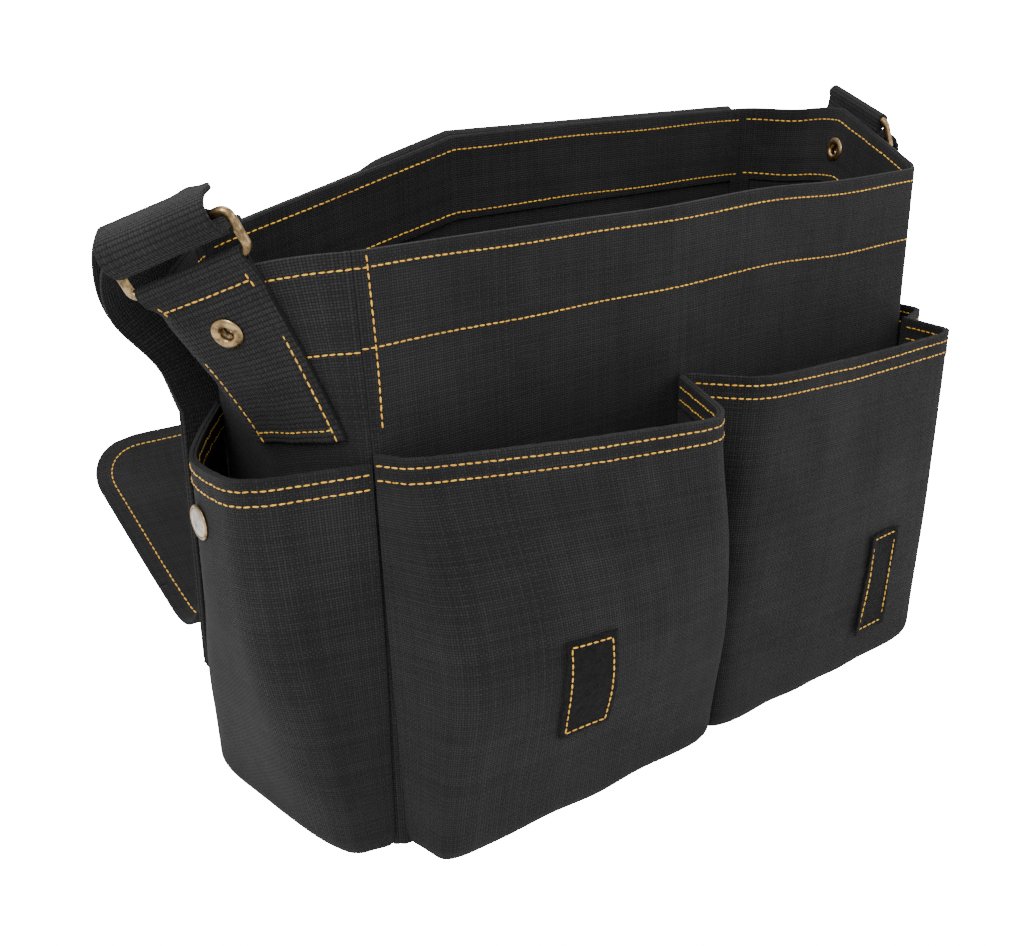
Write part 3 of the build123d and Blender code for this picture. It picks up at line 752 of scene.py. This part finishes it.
def corner_seam(first, second):
    """A narrow strip inside the corner where two walls meet, from the bottom to the mouth."""
    here, there = walls[first], walls[second]
    pairs = [(a, b) for a in (0, 1) for b in (0, 1)]
    ends = min(pairs, key=lambda pair: np.linalg.norm(here.at(pair[0], 0.5) - there.at(pair[1], 0.5)))
    t = np.linspace(0.02, 1 - 1.2 * mm / back_height, 90)
    columns = []
    for cloth, end, insets in ((here, ends[0], (9, 5, 2)), (there, ends[1], (2, 5, 9))):
        for inset in insets:
            share = inset * mm / cloth.width
            columns.append(cloth.at(np.full(90, share if end == 0 else 1 - share), t, inner_face - 0.2 * mm))
    places = np.stack(columns, axis=1)
    flat = (lengths_along(places[45]), t * back_height)
    if np.cross(places[45, -1] - places[45, 0], (0, 0, 1)) @ places[45].mean(axis=0) > 0:
        places = places[:, ::-1]
    grid_piece(f"{first}_{second}_seam", places, flat, 0.8 * mm, canvas_black, "canvas")


for end in ("left", "right"):
    for long_side in ("front", "back"):
        corner_seam(long_side, end)
front_wall = walls["front"]
corner_inset, corner_drop = 5 * mm / front_wall.width, 1 - 75 * mm / front_wall.height
sew("front_corner_stitches", [row_on(front_wall, (corner_inset, corner_drop), (corner_inset, 0.995))])


def bottom_cloth(s, t):
    x = (s - 0.5) * 2 * (half_width - bottom_roll + 1 * mm)
    y = (t - 0.5) * 2 * (half_depth - bottom_roll + 1 * mm)
    crown = 1.4 * mm * np.sin(pi * s) ** 0.5 * np.sin(pi * t) ** 0.5
    return np.stack([-x, y, canvas + 0.4 * mm + crown], axis=-1)


cloth_piece("bottom", Cloth(bottom_cloth), canvas, canvas_black, "canvas", ["bottom_panel"], spacing=5 * mm)

# ---- pockets on the walls ---------------------------------------------------------------------------
for name, cloth in pockets.items():
    cloth_piece(f"{name}_cloth", cloth, pocket_canvas, canvas_black, "canvas", [name])
    columns = int(cloth.width / (3 * mm))
    s, t = np.meshgrid(np.linspace(0.01, 0.99, columns), np.linspace(1 - hem_depth / cloth.height, 1, 8))
    flat = (s[0] * cloth.width, t[:, 0] * cloth.height)
    lift = -pocket_canvas - 0.1 * mm
    grid_piece(f"{name}_hem", cloth.at(s, t, lift), flat, 1.4 * mm, canvas_black, "canvas")
    rows = [level_row(cloth, drop, start=0.005, end=0.995) for drop in hem_stitch_drops]
    inside = lift - 1.5 * mm
    rows += [level_row(cloth, drop, inside, -1, 0.02, 0.98) for drop in hem_stitch_drops]
    sew(f"{name}_stitches", rows)


# ---- hook and loop tapes ----------------------------------------------------------------------------
tape_width = 25.4 * mm
tape_pile, tape_backing = 1.3 * mm, 1.2 * mm


def tape(name, cloth, centre, height, material, slot, lift=0.25 * mm, curl=0.0, body="root"):
    """A stitched patch of hook or loop tape, following the cloth under it."""
    s0, t0 = cloth.nearest(centre)
    columns, rows = 22, 40
    a, b = np.meshgrid(np.linspace(-0.5, 0.5, columns), np.linspace(-0.5, 0.5, rows))
    chance = np.random.default_rng(len(name))
    ragged = chance.normal(0, 0.25 * mm, a.shape)
    s = s0 + (a * tape_width + ragged * (np.abs(a) > 0.49)) / cloth.width
    t = t0 + (b * height + ragged * (np.abs(b) > 0.49)) / cloth.height
    pile = tape_pile + chance.normal(0, 0.12 * mm, a.shape)
    raised = lift + pile + curl * smoothstep(np.abs(a) + np.abs(b) * 0.5, 0.3, 0.7) ** 2
    places = cloth.at(s, t, raised)
    flat = ((a[0] + 0.5) * tape_width, (b[:, 0] + 0.5) * height)
    grid_piece(name, places, flat, tape_backing, material, slot, [name], body)
    inset = 2.6 * mm
    ds, dt = (tape_width / 2 - inset) / cloth.width, (height / 2 - inset) / cloth.height
    corners = [(s0 - ds, t0 - dt), (s0 + ds, t0 - dt), (s0 + ds, t0 + dt), (s0 - ds, t0 + dt)]
    top = lift + tape_pile + 0.15 * mm + curl * 0.4
    rows = [row_on(cloth, corners[k], corners[(k + 1) % 4], top) for k in range(4)]
    sew(f"{name}_stitches", rows, body)
    return corners


for name, cloth, height, curl in (
    ("left_pocket_patch", left_pocket, 2 * tape_width, 0.2 * mm),
    ("right_pocket_patch", right_pocket, 60 * mm, 1.6 * mm),
):
    low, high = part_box(name)
    tape(name, cloth, (low + high) / 2, height, loop_black, "loop_patch", curl=curl)


# ---- ring tabs, eyelets and snaps ---------------------------------------------------------------------
def ring_frame(side):
    """The ring's bar in its tab: its middle, along it, towards the outer bar, and out of the ring's face."""
    joint = joints[f"{side}_ring_swing"]
    bar, across = Vector(joint["pos_m"]), Vector(joint["axis"]).normalized()
    low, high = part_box(f"{side}_ring")
    reach = (low + high) / 2 - bar
    reach = (reach - across * reach.dot(across)).normalized()
    return bar, across, reach, across.cross(reach)


def eyelet_axis(side):
    """Middle of the eyelet, and its direction out of the bag."""
    mount = mounts[f"{side}_eyelet"]
    middle, axis = Vector(mount["pos_m"]), Vector(mount["axis"]).normalized()
    return middle, axis if axis.x * middle.x > 0 else -axis


def tree_of(piece):
    mesh = bmesh.new()
    mesh.from_mesh(piece.data)
    tree = BVHTree.FromBMesh(mesh)
    mesh.free()
    return tree


def through(stations, spacing):
    """A smooth curve through stations, evenly sampled; the first three values of each are its place."""
    stations = np.asarray(stations, float)
    knots = lengths_along(stations[:, :3])
    slopes = np.gradient(stations, knots, axis=0)
    at = np.linspace(0, knots[-1], int(knots[-1] / spacing) + 2)
    k = np.clip(np.searchsorted(knots, at, side="right") - 1, 0, len(knots) - 2)
    step = (knots[k + 1] - knots[k])[:, None]
    u = (at - knots[k])[:, None] / step
    ends = (2 * u**3 - 3 * u**2 + 1) * stations[k] + (3 * u**2 - 2 * u**3) * stations[k + 1]
    return ends + step * ((u**3 - 2 * u**2 + u) * slopes[k] + (u**3 - u**2) * slopes[k + 1])


tab_layer = 1.8 * mm
tab_length = 84 * mm
fold_radius = 3.3 * mm  # middle of the webbing round the ring's bar


def ring_tab(side, wall_piece):
    """Webbing folded round the ring's bar, both ends sewn flat to the end wall."""
    bar, across, _, _ = ring_frame(side)
    middle, axis = eyelet_axis(side)
    out = (axis - across * axis.dot(across)).normalized()
    up = out.cross(across)
    fold = bar - out * tab_layer
    tree = tree_of(wall_piece)
    profile = [(-tab_length, 0.5 * tab_layer), (-45 * mm, 0.5 * tab_layer), (-13 * mm, 0.5 * tab_layer)]
    for turn in range(-120, 121, 20):
        profile.append((fold_radius * cos(radians(turn)), tab_layer + fold_radius * sin(radians(turn))))
    profile += [(-13 * mm, 1.5 * tab_layer), (-45 * mm, 1.5 * tab_layer), (-tab_length, 1.5 * tab_layer)]
    line = through([(level, rise, 0) for level, rise in profile], 1.8 * mm)
    a = np.linspace(-webbing / 2, webbing / 2, 25)
    places = np.zeros((len(line), len(a), 3))
    for i, (level, rise, _) in enumerate(line):
        settled = smoothstep(level, -3 * mm, -14 * mm)
        for j, offset in enumerate(a):
            start = fold + across * offset + up * level + out * 30 * mm
            hit = tree.ray_cast(start, -out, 60 * mm)
            dip = (30 * mm - hit[3]) if hit[0] is not None else 0
            places[i, j] = start + out * (rise - 30 * mm + settled * dip + 0.25 * mm)
    flat = (a + webbing / 2, lengths_along(places[:, 12]))
    hole = (middle, axis, eyelet_hole)
    piece = grid_piece(
        f"{side}_tab", places[:, ::-1], flat, tab_layer, webbing_black, "webbing", [f"{side}_ring_tab"],
        holes=[hole],
    )
    front = np.flatnonzero(np.arange(len(line)) > len(line) / 2 + 6)
    outer = places + np.array(out) * 0.15 * mm
    normals = np.broadcast_to(np.array(out), (len(line), 3))
    rows = [(outer[front][:, j], normals[front]) for j in (2, 22)]
    for level in (-11 * mm, -17 * mm, -tab_length + 5 * mm):
        i = front[np.abs(line[front, 0] - level).argmin()]
        rows.append((outer[i, 2:23], np.broadcast_to(np.array(out), (21, 3))))
    sew(f"{side}_tab_stitches", rows)
    return piece


def turned_part(name, profile, place, axis, material, nodes=(), body="root", steps=36):
    """A closed profile of radius and height, spun round an axis."""
    mesh = bmesh.new()
    verts = [mesh.verts.new((radius, 0, height)) for radius, height in profile]
    edges = [mesh.edges.new((verts[k - 1], verts[k])) for k in range(len(verts))]
    bmesh.ops.spin(
        mesh, geom=verts + edges, axis=(0, 0, 1), cent=(0, 0, 0), angle=2 * pi, steps=steps, use_merge=True
    )
    bmesh.ops.remove_doubles(mesh, verts=mesh.verts[:], dist=0.005 * mm)
    bmesh.ops.recalc_face_normals(mesh, faces=mesh.faces[:])
    turn = axis.to_track_quat("Z", "Y").to_matrix().to_4x4()
    bmesh.ops.transform(mesh, matrix=Matrix.Translation(place) @ turn, verts=mesh.verts[:])
    return add_piece(name, mesh, material, nodes, body)


def rolled_flange(thickness, radius=7 * mm, bore=3.2 * mm, barrel=4 * mm):
    """Profile of an eyelet's rolled flange with the start of its barrel."""
    crown = [
        (radius - (radius - bore) * k / 8, 0.35 * mm + thickness * sin(pi * (0.12 + 0.66 * k / 8)))
        for k in range(9)
    ]
    under = [(bore, -barrel), (bore + 0.5 * mm, -barrel), (bore + 0.6 * mm, 0), (radius, 0)]
    return [*crown, *under]


def on_face(tree, middle, axis, reach=25 * mm):
    hit = tree.ray_cast(middle + axis * reach, -axis, 2 * reach)
    return hit[0] if hit[0] is not None else middle


eyelet_seat_radius = 5.5 * mm


def flange_seat(piece, middle, axis, way):
    """Where a flange rests on a piece, from eight points around it; way is 1 outside and -1 inside."""
    tree = tree_of(piece)
    around = axis.orthogonal().normalized() * eyelet_seat_radius
    points = [middle + Matrix.Rotation(radians(turn), 3, axis) @ around for turn in range(0, 360, 45)]
    touches = [on_face(tree, point, axis * way) for point in points]
    return middle + axis * (sum((touch - middle).dot(axis) for touch in touches) / len(touches))


for side in ("left", "right"):
    middle, axis = eyelet_axis(side)
    tab = ring_tab(side, wall_pieces[side])
    for part, piece, way, thickness, node_name in (
        ("flange", tab, 1, 1.5 * mm, "eyelet"),
        ("back", facing_pieces[side], -1, 1.1 * mm, "eyelet_washer"),
    ):
        seat = flange_seat(piece, middle, axis, way)
        turned_part(
            f"{side}_eyelet_{part}", rolled_flange(thickness), seat, axis * way, brass,
            [f"{side}_{node_name}"],
        )

snap_outline = [(0.02, 2.5), (3.5, 2.45), (5.4, 2.2), (6.3, 1.8), (6.6, 1.2), (6.6, 0.2), (0.02, 0.2)]
snap_face = [(radius * mm, height * mm) for radius, height in snap_outline]


def ring_profile(radius, rise, half_width, half_height, corners):
    """Oval section of a small ring, its middle at a radius and a height."""
    turns = np.linspace(0, 2 * pi, corners + 1)[:-1]
    return [((radius + half_width * cos(t)) * mm, (rise + half_height * sin(t)) * mm) for t in turns]


snap_rim = ring_profile(7.1, 1.15, 0.75, 0.75, 11)
socket_ring = ring_profile(4.2, 1.1, 2.0, 1.1, 13)
for side in ("left", "right"):
    cloth = pockets[f"{side}_side_pocket"]
    low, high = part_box(f"{side}_snap_cap")
    s, t = cloth.nearest((low + high) / 2)
    seat, axis = Vector(cloth.at(s, t, 0.1 * mm)), Vector(cloth.normal(s, t))
    turned_part(f"{side}_snap_face", snap_face, seat, axis, nickel, [f"{side}_snap_cap"])
    turned_part(f"{side}_snap_rim", snap_rim, seat, axis, brass)
    seat = Vector(cloth.at(s, t, -pocket_canvas - 0.1 * mm))
    sockets = [f"{side}_snap_socket"]
    turned_part(f"{side}_snap_ring", socket_ring, seat, -axis, brass, sockets)

# ---- shoulder strap -----------------------------------------------------------------------------------
strap_y, return_y = 70.4 * mm, 67.8 * mm  # outer and returning layer behind the bag
run_x, run_z = 176 * mm, 5 * mm  # hanging stretches, and the floor stretch's lower edge
turn_height = 185 * mm
run_middle = run_z + webbing / 2
bar_reach = 18  # ring's outer bar from its bar in the tab, in millimetres
crease = 1.2 * mm  # radius of a flat diagonal fold
fall_length = turn_height - run_middle


def on_ring(side, reach, out):
    bar, _, up, face = ring_frame(side)
    return bar + up * reach * mm + face * out * mm


def station(place, across):
    return (*place, *Vector(across).normalized())


left_across, right_across = (ring_frame(side)[1] for side in ("left", "right"))
left_rise = [
    station((-run_x, strap_y, turn_height), (1, 0, 0)),
    station((-0.186, 0.0708, 0.216), (0.97, 0, 0.24)),
    station((-0.209, 0.0726, 0.250), (0.8, -0.12, 0.59)),
    station((-0.222, 0.051, 0.275), (0.62, -0.55, 0.56)),
    station((-0.229, 0.022, 0.287), (0.58, -0.72, 0.36)),
    *[
        station(on_ring("left", reach, out) - left_across * aside * mm, left_across)
        for reach, out, aside in (
            (25.5, -12, 5), (26, 0, 3), (23.5, 8, 1), (18, 11, 0), (12, 7, 0), (9.5, -2, 0), (10, -12, 0)
        )
    ],
]
return_fall = [
    left_rise[-1],
    station((-0.225, 0.017, 0.277), (0.58, -0.72, 0.36)),
    station((-0.220, 0.048, 0.269), (0.62, -0.55, 0.56)),
    station((-0.2085, 0.0697, 0.2475), (0.8, -0.12, 0.59)),
    station((-0.186, 0.068, 0.214), (0.97, 0, 0.24)),
    station((-run_x, return_y, turn_height), (1, 0, 0)),
]
round_bar, loop_overlap = 5.3, 42  # the strap's sewn loop: its radius and the length of its inner layer
right_fall = [station(on_ring("right", bar_reach + loop_overlap, round_bar), right_across)]
for angle in range(0, 181, 30):
    reach, out = -round_bar * sin(radians(angle)), round_bar * cos(radians(angle))
    right_fall.append(station(on_ring("right", bar_reach + reach, out), right_across))
right_fall += [
    station((0.230, 0.012, 0.266), (0.05, 0.93, 0.36)),
    station((0.227, 0.042, 0.243), (-0.45, 0.78, 0.43)),
    station((0.207, 0.067, 0.224), (-0.88, 0.2, 0.43)),
    station((0.183, 0.0708, 0.206), (-0.97, 0, 0.24)),
    station((run_x, strap_y, turn_height), (-1, 0, 0)),
]


def ribbon(stations):
    """Rows of places across webbing that passes through stations."""
    line = through(stations, 2.5 * mm)
    a = np.linspace(-webbing / 2, webbing / 2, 17)
    across = line[:, 3:] / np.linalg.norm(line[:, 3:], axis=1, keepdims=True)
    return line[:, None, :3] + across[:, None, :] * a[None, :, None]


def crease_over(x, y, z, corner_x, lean, side):
    """Folds the flat webbing beyond a diagonal line through a corner, towards side in Y."""
    beyond = ((x - corner_x) * lean - (z - run_middle)) / sqrt(2)
    bend = np.clip(beyond / crease, 0, pi)
    past = np.clip(beyond - pi * crease, 0, None)
    shift = np.where(beyond > 0, crease * np.sin(bend) - past - beyond, 0)
    depth = crease * (1 - np.cos(bend))
    return x + shift * lean / sqrt(2), y + side * depth, z - shift / sqrt(2)


def floor_rows(y_start, y_corner, y_run, side, length):
    """Rows of the stretch that hangs, folds over and runs along the floor, and how far along they lie."""
    first, second = fall_length, fall_length + 2 * run_x
    near = np.concatenate([np.arange(-2, 9) * mm + corner for corner in (first, second)])
    run = np.unique(np.round(np.append(np.arange(0, length, 3 * mm), near), 6))
    run = run[(run >= 0) & (run <= length)]
    run = np.append(run[run < length - 1 * mm], length)
    a = np.linspace(-webbing / 2, webbing / 2, 17)
    slant = np.clip(1 - np.abs(run - first - 3 * mm) / (70 * mm), 0, 1)
    slant = slant - np.clip(1 - np.abs(run - second - 3 * mm) / (70 * mm), 0, 1)
    along = run[:, None] + slant[:, None] * a
    y = y_start + (y_corner - y_start) * smoothstep(along, first - 90 * mm, first - 35 * mm)
    y = y + (y_run - y_corner - side * 2 * crease) * smoothstep(along, first + 30 * mm, first + 75 * mm)
    y = y - 2 * crease * smoothstep(along, second + 40 * mm, second + 110 * mm)
    x, z = -run_x + a + 0 * along, turn_height - along
    x, y, z = crease_over(x, y, z, -run_x, -1, side)
    x, y, z = crease_over(x, y, z, run_x, 1, 1)
    return np.stack([x, y, z], axis=-1)


def strap_piece(name, places, nodes):
    flat = (np.linspace(0, webbing, places.shape[1]), lengths_along(places[:, places.shape[1] // 2]))
    sag = ripples(len(name), 5, 0.6, 14)
    s, t = np.meshgrid(np.linspace(0, 1, places.shape[1]), np.linspace(0, 1, places.shape[0]))
    run, rise = np.gradient(places, axis=0), np.gradient(places, axis=1)
    normals = np.cross(rise, run)
    normals /= np.maximum(np.linalg.norm(normals, axis=-1, keepdims=True), 1e-12)
    places = places + normals * (0.25 * mm * sag(s, t) + webbing_thickness / 2)[..., None]
    piece = grid_piece(
        name, places, flat, webbing_thickness, webbing_black, "webbing", nodes, rounding=0.35, body=None
    )
    return piece, (webbing, float(flat[1][-1]))


full_length = 2 * fall_length + 2 * run_x
hanging = floor_rows(strap_y, strap_y + 0.5 * mm, strap_y, 1, full_length)
strap_rows = np.concatenate([ribbon(left_rise)[::-1][:-1], hanging[:-1], ribbon(right_fall)[::-1]])
strap, strap_flat = strap_piece("shoulder_webbing", strap_rows, ["shoulder_strap"])
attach(strap, "root")
slider_low, slider_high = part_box("strap_slider")
slider_middle = (slider_low + slider_high) / 2
to_slider = fall_length + run_x + slider_middle.x - 1.6 * mm
returning = floor_rows(return_y, return_y + 0.8 * mm, return_y, -1, to_slider)
return_rows = np.concatenate([ribbon(return_fall)[:-1], returning])
strap_back, return_flat = strap_piece("returning_webbing", return_rows, ["strap_return"])
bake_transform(strap_back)

# ---- flap ---------------------------------------------------------------------------------------------
flap_canvas = 2.2 * mm
flap_width = 2 * half_width
flap_corner = 38 * mm
flap_end_length = 152 * mm
end_angle = radians(121)
fold_points = [Vector(joints[name]["pos_m"]) for name in ("flap_hinge", "flap_front_fold", "flap_end_fold")]
free_end = fold_points[2] + Vector((0, sin(end_angle), -cos(end_angle))) * flap_end_length
fold_reach, fold_steps = 24 * mm, 13


def flap_line():
    """Side view of the flap, its two folds rounded: distance along, Y and Z."""
    points = [np.array(p)[1:] for p in (*fold_points, free_end)]
    line = [points[0]]
    for before, here, after in zip(points, points[1:], points[2:]):
        start, end = (here + (to - here) / np.linalg.norm(to - here) * fold_reach for to in (before, after))
        line += [start * (1 - t) ** 2 + here * 2 * t * (1 - t) + end * t * t for t in np.linspace(0, 1, fold_steps)]
    line = np.array([*line, points[3]])
    return lengths_along(line), line


flap_along, flap_side_view = flap_line()
flap_total = flap_along[-1]


def flap_base(s, t):
    run = t * flap_total
    left = np.clip(flap_total - run, 0, flap_corner)
    narrow = flap_corner - np.sqrt(np.maximum(flap_corner**2 - (flap_corner - left) ** 2, 0))
    x = (s - 0.5) * (flap_width - 2 * narrow)
    y, z = (np.interp(run, flap_along, flap_side_view[:, axis]) for axis in (0, 1))
    return np.stack([x, y, z], axis=-1)


flap_waves = ripples(71, 5, 1.6, 1.5)
flap_fine = ripples(72, 6, 6, 5)


def flap_relief(s, t):
    free = smoothstep(t, 0.12, 0.5)
    return free * 2.2 * mm * flap_waves(s, t) + 0.35 * mm * flap_fine(s, t)


flap = Cloth(flap_base, flap_relief)
share_of = lambda distance: distance / flap_total
# where the two rounded folds start and end, and the lengths of cloth shared out between them
front_fold, end_fold = (flap_along[1], flap_along[fold_steps]), (flap_along[fold_steps + 1], flap_along[-2])
front_start = front_fold[0] - 14 * mm
end_start = (front_fold[1] + end_fold[0]) / 2
end_flat = end_fold[1] + 14 * mm
hem_gap = 9 * mm


def flap_top_edge(s):
    x = (s - 0.5) * flap_width
    drop = fold_points[0].z - mouth_height(x, half_depth)
    return share_of(drop * 1.0065 + 1 * mm)


def flap_rows(low, high, rows, columns=122):
    s, u = np.meshgrid(np.linspace(0, 1, columns), np.linspace(0, 1, rows))
    start = flap_top_edge(s) if low is None else low
    return s, start + (high - start) * u


def flap_part(name, low, high, rows, nodes, body, joins):
    s, t = flap_rows(low, high, rows)
    places = flap.at(s, t, flap_canvas / 2)
    flat = (s[0] * flap_width, t[:, 0] * flap_total)
    return grid_piece(name, places, flat, flap_canvas, canvas_black, "canvas", nodes, body, joins=joins)


def flap_seams(name, low, high, body, ends=False):
    """Rows of stitches inside the flap's edges, on both faces."""
    rows = []
    for lift, side in ((flap_canvas / 2 + 0.1 * mm, 1), (-flap_canvas / 2 - 0.1 * mm, -1)):
        inset = hem_gap / flap_width
        stop = high - (hem_gap / flap_total if ends else 0)
        if ends:
            bend = np.linspace(0, pi / 2, 14)
            radius = flap_corner - hem_gap
            for flip in (1, -1):
                s = 0.5 + flip * (0.5 - inset - radius / flap_width * (1 - np.cos(bend)))
                t = stop - radius / flap_total * (1 - np.sin(bend))
                straight = np.linspace(low, t[0], 40)[:-1]
                s_line = np.append(np.full(39, s[0]), s)
                t_line = np.append(straight, t)
                rows.append((flap_points(s_line, t_line, lift), flap.normal(s_line, t_line) * side))
            s_line = np.linspace(inset + radius / flap_width, 1 - inset - radius / flap_width, 120)
            t_line = np.full(120, stop)
            rows.append((flap_points(s_line, t_line, lift), flap.normal(s_line, t_line) * side))
        else:
            for s in (inset, 1 - inset):
                start = flap_top_edge(np.array(s)) if low is None else low
                rows.append(row_on(flap, (s, float(start)), (s, stop), lift, side))
    return sew(name, rows, body)


def flap_points(s, t, lift):
    """Flap places by true distance across, undoing the narrowing at its rounded end."""
    left = np.clip((1 - t) * flap_total, 0, flap_corner)
    narrow = flap_corner - np.sqrt(np.maximum(flap_corner**2 - (flap_corner - left) ** 2, 0))
    return flap.at(0.5 + (s - 0.5) * flap_width / (flap_width - 2 * narrow), t, lift)


marks = [None, share_of(front_start), share_of(end_start), share_of(end_flat), 1.0]
flap_top = flap_part("flap_top_cloth", marks[0], marks[1], 60, ["flap_top"], "flap_top", [59])
flap_front = flap_part("flap_front_cloth", marks[1], marks[2], 30, ["flap_front"], None, [0, 29])
flap_bend = flap_part("flap_bend_cloth", marks[2], marks[3], 34, [], None, [0, 33])
flap_end = flap_part("flap_end_cloth", marks[3], marks[4], 44, ["flap_end"], "flap_end", [0])
top_seams = flap_seams("flap_top_stitches", marks[0], marks[1], "flap_top")
front_seams = flap_seams("flap_front_stitches", marks[1], marks[2], None)
bend_seams = flap_seams("flap_bend_stitches", marks[2], marks[3], None)
end_seams = flap_seams("flap_end_stitches", marks[3], marks[4], "flap_end", ends=True)


for piece in (flap_front, front_seams):
    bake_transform(piece)
for piece in (flap_bend, bend_seams):
    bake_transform(piece)

for piece, seams, low, high, rest in (
    (flap_top, top_seams, marks[0], marks[1], "back_wall"),
    (flap_front, front_seams, marks[1], marks[2], "flap_top_cloth"),
    (flap_bend, bend_seams, marks[2], marks[3], "flap_front_cloth"),
    (flap_end, end_seams, marks[3], marks[4], "flap_bend_cloth"),
):
    if low is None:
        low = float(np.mean(flap_top_edge(np.linspace(0, 1, 50))))
    flat = (flap_width, (high - low) * flap_total)

tape_start, tape_end = -110 * mm, half_width - 3 * mm
tape_x = np.linspace(tape_start, tape_end, 100)
rim_z = mouth_height(tape_x, half_depth)
tape_line = [(-1.0, -5), (-1.0, -0.5), (0.5, 1.2), (2.6, 1.8), (4.6, 0.6), (5.3, -3), (5.9, -11)]
taper = 0.25 + 0.75 * smoothstep(tape_x, tape_start, tape_start + 30 * mm)
tape_curve = through([(y * mm, z * mm, 0) for y, z in tape_line], 0.9 * mm)
tape_places = np.stack(
    [
        np.stack([tape_x, np.full(100, half_depth + y), rim_z + (z + 5 * mm) * taper - 5 * mm], axis=-1)
        for y, z, _ in tape_curve
    ]
)
tape_flat = (tape_x - tape_start, lengths_along(tape_curve))
hinge_tape = grid_piece(
    "flap_hinge_cloth", tape_places, tape_flat, 1.0 * mm, canvas_black, "canvas", body=None, joins=[]
)
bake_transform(hinge_tape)

for name in ("left_hook_patch", "right_hook_patch"):
    low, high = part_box(name)
    middle = (low + high) / 2
    corners = tape(
        name, flap, middle, 2 * tape_width, hook_black, "hook_patch", flap_canvas / 2 + 0.2 * mm,
        body="flap_end",
    )
    back_lift = -flap_canvas / 2 - 0.1 * mm
    rows = [row_on(flap, corners[k], corners[(k + 1) % 4], back_lift, -1) for k in range(4)]
    sew(f"{name}_back_stitches", rows, "flap_end")

# ---- camera, light and floor ------------------------------------------------------------------------
azimuth, elevation, roll = radians(-40), radians(19), radians(-1.1)
right = Vector((cos(azimuth), sin(azimuth), 0))
backward = Vector((sin(azimuth) * cos(elevation), -cos(azimuth) * cos(elevation), sin(elevation)))
upward = backward.cross(right)
image_right = right * cos(roll) + upward * sin(roll)
image_up = upward * cos(roll) - right * sin(roll)
lens = bpy.data.cameras.new("camera")
lens.lens = 47.25
lens.sensor_width = 36
camera = bpy.data.objects.new("camera", lens)
bpy.context.collection.objects.link(camera)
camera.matrix_world = Matrix.Translation((-0.474, -0.498, 0.3616)) @ Matrix(
    (image_right, image_up, backward)
).transposed().to_4x4()
bpy.context.scene.camera = camera


def softbox(name, place, aim, size, power):
    lamp = bpy.data.lights.new(name, "AREA")
    lamp.shape, lamp.size, lamp.energy = "SQUARE", size, power
    light = bpy.data.objects.new(name, lamp)
    bpy.context.collection.objects.link(light)
    light.location = place
    light.rotation_euler = (Vector(place) - Vector(aim)).to_track_quat("Z", "Y").to_euler()


softbox("key", (-1.5, -0.9, 1.5), (0, 0, 0.15), 1.3, 42)
softbox("fill", (1.3, -1.7, 1.0), (0, 0, 0.15), 1.6, 14)
softbox("top", (0.2, 0.6, 1.9), (0, 0, 0.15), 1.5, 20)
world = bpy.data.worlds.new("studio")
world.use_nodes = True
backdrop = world.node_tree.nodes["Background"]
settle(backdrop, Color=(1, 1, 1, 1))
bpy.context.scene.world = world


def glow_to_camera(tree, low, high, socket):
    """A strength that is low for everything but the camera, which sees a bright white."""
    seen = tree.nodes.new("ShaderNodeLightPath").outputs["Is Camera Ray"]
    plug(tree, math(tree, "ADD", math(tree, "MULTIPLY", seen, high - low), low), socket)


glow_to_camera(world.node_tree, 0.9, 30.0, backdrop.inputs["Strength"])

floor_mesh = bmesh.new()
bmesh.ops.create_grid(floor_mesh, x_segments=2, y_segments=2, size=6)
floor_data = bpy.data.meshes.new("floor")
floor_mesh.to_mesh(floor_data)
floor_mesh.free()
floor = bpy.data.objects.new("floor", floor_data)
floor.location.z = -0.3 * mm
bpy.context.collection.objects.link(floor)
floor_material, floor_tree, floor_shader, _ = new_material("pale_floor")
settle(floor_shader, Base_Color=(0.93, 0.93, 0.93, 1), Roughness=0.9, Emission_Color=(1, 1, 1, 1))
glow_to_camera(floor_tree, 0.0, 30.0, floor_shader.inputs["Emission Strength"])
floor_data.materials.append(floor_material)

for name, material in (("left_ring", brass), ("right_ring", brass), ("strap_slider", steel)):
    frame["nodes"][name].material_slots[0].material = material
